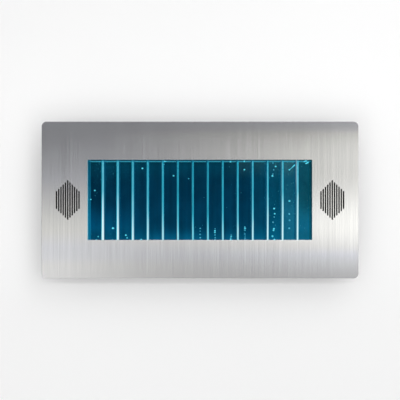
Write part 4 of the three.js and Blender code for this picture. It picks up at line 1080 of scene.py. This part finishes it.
# Short bright trails just under the surface, by their two ends and thickness
TRAILS = (
    ((289.6, 169.7), (294.7, 164.6), 0.8),
    ((292.6, 166.8), (294.9, 164.5), 1.5),
    ((303.2, 161.9), (307.0, 160.5), 1.7),
    ((304.9, 163.8), (308.8, 162.2), 1.7),
    ((162.4, 161.7), (167.0, 161.4), 0.8),
)
BUBBLE_RADIUS = 1.9 * MM
BUBBLE_FLATNESS = 0.84
BUBBLE_SPREAD = 3 * MM  # in depth
BUBBLE_LEAN = 0.12
BUBBLE_UNEVENNESS = 0.06
TRAIL_DEPTH = 46 * MM
CLINGING = 120
CLINGING_CHANNELS = (1, 1, 2, 8, 10, 11, 12, 13, 13, 14, 14, 14, 15)  # repeated where denser
LOW_CLINGING = 8  # the channel with them at its foot
CLINGING_MARGIN = 1.5 * MM  # from the dividers
CLINGING_RADIUS = (0.35, 0.65)
chance = random.Random(7)


def ball(shape, centre, radii, turn=None):
    """Adds a ball of these radii, a little uneven as a rising bubble is."""
    made = bmesh.ops.create_icosphere(shape, subdivisions=3, radius=1.0)["verts"]
    lean = chance.uniform(-BUBBLE_LEAN, BUBBLE_LEAN)
    for vert in made:
        place = vert.co
        uneven = 1 + BUBBLE_UNEVENNESS * math.sin(3 * place.x + 2 * place.z + 9 * lean)
        spot = Vector((place.x * radii[0], place.y * radii[1], place.z * radii[2])) * uneven
        spot.x += lean * spot.z
        if turn is not None:
            spot = turn @ spot
        vert.co = centre + spot


def add_bubbles(name, spots, surface):
    """One piece out of bubbles given as centre and radius."""
    shape = bmesh.new()
    for centre, radius in spots:
        ball(shape, centre, (radius, radius, BUBBLE_FLATNESS * radius))
    shown(name, mesh_from(name, shape), surface)


def bubbles_at(name, table):
    """Bubbles placed by a table, the bright and the faint ones as two pieces."""
    groups = {"bright": [], "faint": []}
    for across, down, size, catches in table:
        centre = at_pixel(across, down, BUBBLE_DEPTH + chance.uniform(-BUBBLE_SPREAD, BUBBLE_SPREAD))
        groups["bright" if catches else "faint"].append((centre, size * BUBBLE_RADIUS))
    add_bubbles(name + "_faint", groups["faint"], faint_film)
    if groups["bright"]:
        add_bubbles(name + "_bright", groups["bright"], bright_film)


def trails():
    """Bubbles drawn out along the surface where they break."""
    shape = bmesh.new()
    for first, last, thickness in TRAILS:
        start = at_pixel(*first, TRAIL_DEPTH)
        end = at_pixel(*last, TRAIL_DEPTH)
        along = end - start
        turn = along.to_track_quat("X", "Y").to_matrix()
        ball(shape, (start + end) / 2, (along.length / 2, thickness * MM, thickness * MM), turn)
    shown("surface_trails", mesh_from("surface_trails", shape), bright_film)


def clinging_bubbles():
    """Very small bubbles that sit on the inside of the front pane, most of them near the top."""
    shape = bmesh.new()
    for _ in range(CLINGING):
        channel = chance.choice(CLINGING_CHANNELS)
        reach = channel_pitch / 2 - divider_half - CLINGING_MARGIN
        x = channel_middle(channel) + chance.uniform(-reach, reach)
        z = WATER_LEVEL - (WATER_LEVEL - tank_floor) * chance.random() ** 2
        if channel == LOW_CLINGING:
            z = tank_floor + WATER_LEVEL - z
        radius = chance.uniform(*CLINGING_RADIUS) * MM
        made = bmesh.ops.create_icosphere(shape, subdivisions=1, radius=radius)["verts"]
        for vert in made:
            vert.co += Vector((x, front_face + radius + WATER_GAP, z))
    shown("clinging_bubbles", mesh_from("clinging_bubbles", shape), faint_film)


bubbles_at("lone_bubbles", LONE_BUBBLES)
clinging_bubbles()
for number, table in enumerate(STREAMS, 1):
    bubbles_at(f"stream_{number}", table)
trails()


# The wall behind, the floor far below, and the light
WALL_SIZE = (7.0, 5.2)
WALL_GAP = 1 * MM  # behind the panel
WALL_GLOW = 0.185
WALL_BOUNCE = 0.857
WALL_RING = 0.055
SHADOW_END = (0.025, 0.075)  # from the plate's outline
RING_FADE = (0.1, 0.3)
RING_HEIGHT = (-0.3, -0.1)
FLOOR_DROP = 1.3
FLOOR_REACH = 4.0
FLOOR_GLOW = 0.2
FLOOR_BOUNCE = 0.6


def pale_stage(name, own, bounced, ring=0.0):
    """A pale surface seen from its front only, with part of its level its own.

    The rest shows the soft shadow. Its own level rises by the ring where that shadow runs out.
    """
    look = Look(name)
    distance = look.outline(plate_wide, plate_high, 0.0)[0]
    run_out = look.span(distance, *SHADOW_END, 0.0, 1.0, True)
    run_out = look.maths("MULTIPLY", run_out, look.span(distance, *RING_FADE, 1.0, 0.1))
    run_out = look.maths("MULTIPLY", run_out, look.span(look.axes()[2], *RING_HEIGHT, 0.1, 1.0))
    own = look.maths("MULTIPLY_ADD", run_out, ring, own)
    cloud = look.noise((1.2, 1.2, 1.2), 1.0)
    light_path = look.add("LightPath").outputs
    seen = look.maths("MAXIMUM", light_path["Is Camera Ray"], light_path["Is Glossy Ray"])
    seen = look.maths("MAXIMUM", seen, light_path["Is Transmission Ray"])
    matt = look.mottled(cloud, grey(0.98 * bounced), grey(bounced))
    plaster = look.add("BsdfDiffuse", {"Color": matt})
    glow = look.add("Emission", {"Color": grey(1.0), "Strength": look.maths("MULTIPLY", seen, own)})
    both = look.add("AddShader", {0: plaster.outputs[0], 1: glow.outputs[0]})
    behind = look.add("NewGeometry").outputs["Backfacing"]
    clear = look.add("BsdfTransparent")
    mixed = look.add("MixShader", {0: behind, 1: both.outputs[0], 2: clear.outputs[0]})
    look.add("OutputMaterial", {"Surface": mixed.outputs[0]})
    return look.material


def stage_sheet(name, corners, surface):
    """A flat sheet of the surroundings, which casts no shadow and colours nothing."""
    shape = bmesh.new()
    shape.faces.new([shape.verts.new(corner) for corner in corners])
    mesh = bpy.data.meshes.new(name)
    shape.to_mesh(mesh)
    shape.free()
    mesh.materials.append(surface)
    sheet = bpy.data.objects.new(name, mesh)
    bpy.context.scene.collection.objects.link(sheet)
    sheet.visible_shadow = False
    sheet.visible_diffuse = False


half_wide = WALL_SIZE[0] / 2
half_high = WALL_SIZE[1] / 2
stage_sheet("wall", (
    (-half_wide, WALL_GAP, -FLOOR_DROP),
    (half_wide, WALL_GAP, -FLOOR_DROP),
    (half_wide, WALL_GAP, half_high),
    (-half_wide, WALL_GAP, half_high),
), pale_stage("pale_wall", WALL_GLOW, WALL_BOUNCE, WALL_RING))
stage_sheet("floor", (
    (-half_wide, -FLOOR_REACH, -FLOOR_DROP),
    (half_wide, -FLOOR_REACH, -FLOOR_DROP),
    (half_wide, WALL_GAP, -FLOOR_DROP),
    (-half_wide, WALL_GAP, -FLOOR_DROP),
), pale_stage("pale_floor", FLOOR_GLOW, FLOOR_BOUNCE))

# Soft patches of light in front of the panel: level, slopes across and up from it, and their spread
SOFT_PATCHES = (
    (6.0, 0.15, 0.29, 0.45, 0.055),
    (3.0, 0.15, -0.29, 0.45, 0.055),
    (3.0, 0.73, -0.027, 0.38, 0.051),
    (3.0, 0.55, 0.072, 0.25, 0.012),
    (1.3, 1.0, -0.043, 0.57, 0.012),
    (1.93, -0.32, -0.12, 0.09, 0.094),
)
FRONT_LEVEL = 0.03
FRONT_REACH = 0.3  # as a slope
ROUND_LEVEL = 0.6
ROUND_REACH = 1.2
LEAST_AHEAD = 0.05
PLAIN_LEVEL = 0.82  # what the camera sees behind the object, past the wall


def soft_world():
    """Even pale light all round, calmer straight ahead, where the steel mirrors soft patches."""
    world = bpy.data.worlds.new("soft_light")
    bpy.context.scene.world = world
    world.use_nodes = True
    sky = Nodes(world.node_tree)
    x, y, z = sky.parts(sky.add("TexCoord").outputs["Generated"])
    ahead = sky.maths("MAXIMUM", sky.maths("MULTIPLY", y, -1.0), LEAST_AHEAD)
    across = sky.maths("DIVIDE", x, ahead)
    up = sky.maths("DIVIDE", z, ahead)

    def away(slope, middle, spread):
        share = sky.maths("DIVIDE", sky.maths("SUBTRACT", slope, middle), spread)
        return sky.maths("POWER", sky.maths("ABSOLUTE", share), 2.0)

    off = sky.maths("SQRT", sky.maths("ADD", away(across, 0.0, 1.0), away(up, 0.0, 1.0)))
    level = sky.span(off, FRONT_REACH, ROUND_REACH, FRONT_LEVEL, ROUND_LEVEL, True)
    for strength, middle_across, middle_up, spread_across, spread_up in SOFT_PATCHES:
        sideways = away(across, middle_across, spread_across)
        reach = sky.maths("ADD", sideways, away(up, middle_up, spread_up))
        patch = sky.maths("EXPONENT", sky.maths("MULTIPLY", reach, -0.5))
        level = sky.maths("MULTIPLY_ADD", patch, strength, level)
    light = sky.add("Background", {"Color": grey(1.0), "Strength": level}).outputs[0]
    plain = sky.add("Background", {"Color": grey(1.0), "Strength": PLAIN_LEVEL}).outputs[0]
    is_camera = sky.add("LightPath").outputs["Is Camera Ray"]
    mixed = sky.add("MixShader", {0: is_camera, 1: light, 2: plain}).outputs[0]
    sky.add("OutputWorld", {"Surface": mixed})


def soft_box(name, place, aim, size, power):
    """A rectangular lamp turned towards a point."""
    data = bpy.data.lights.new(name, "AREA")
    data.shape = "RECTANGLE"
    data.size, data.size_y = size
    data.energy = power
    lamp = bpy.data.objects.new(name, data)
    lamp.location = place
    lamp.rotation_euler = (Vector(aim) - Vector(place)).to_track_quat("-Z", "Y").to_euler()
    bpy.context.scene.collection.objects.link(lamp)


KEY_PLACE = (0.8, -1.5, 1.5)
KEY_SIZE = (1.5, 1.3)
KEY_POWER = 8

soft_world()
soft_box("key", KEY_PLACE, (0, 0, 0), KEY_SIZE, KEY_POWER)


def front_camera():
    """Straight in front of the panel, as the photograph was taken."""
    data = bpy.data.cameras.new("camera")
    data.lens = LENS
    data.sensor_width = SENSOR
    camera = bpy.data.objects.new("camera", data)
    camera.location = (0, -CAMERA_DISTANCE, 0)
    camera.rotation_euler = (math.pi / 2, 0, 0)
    bpy.context.scene.collection.objects.link(camera)
    bpy.context.scene.camera = camera


front_camera()
bpy.context.scene.view_settings.view_transform = "Standard"
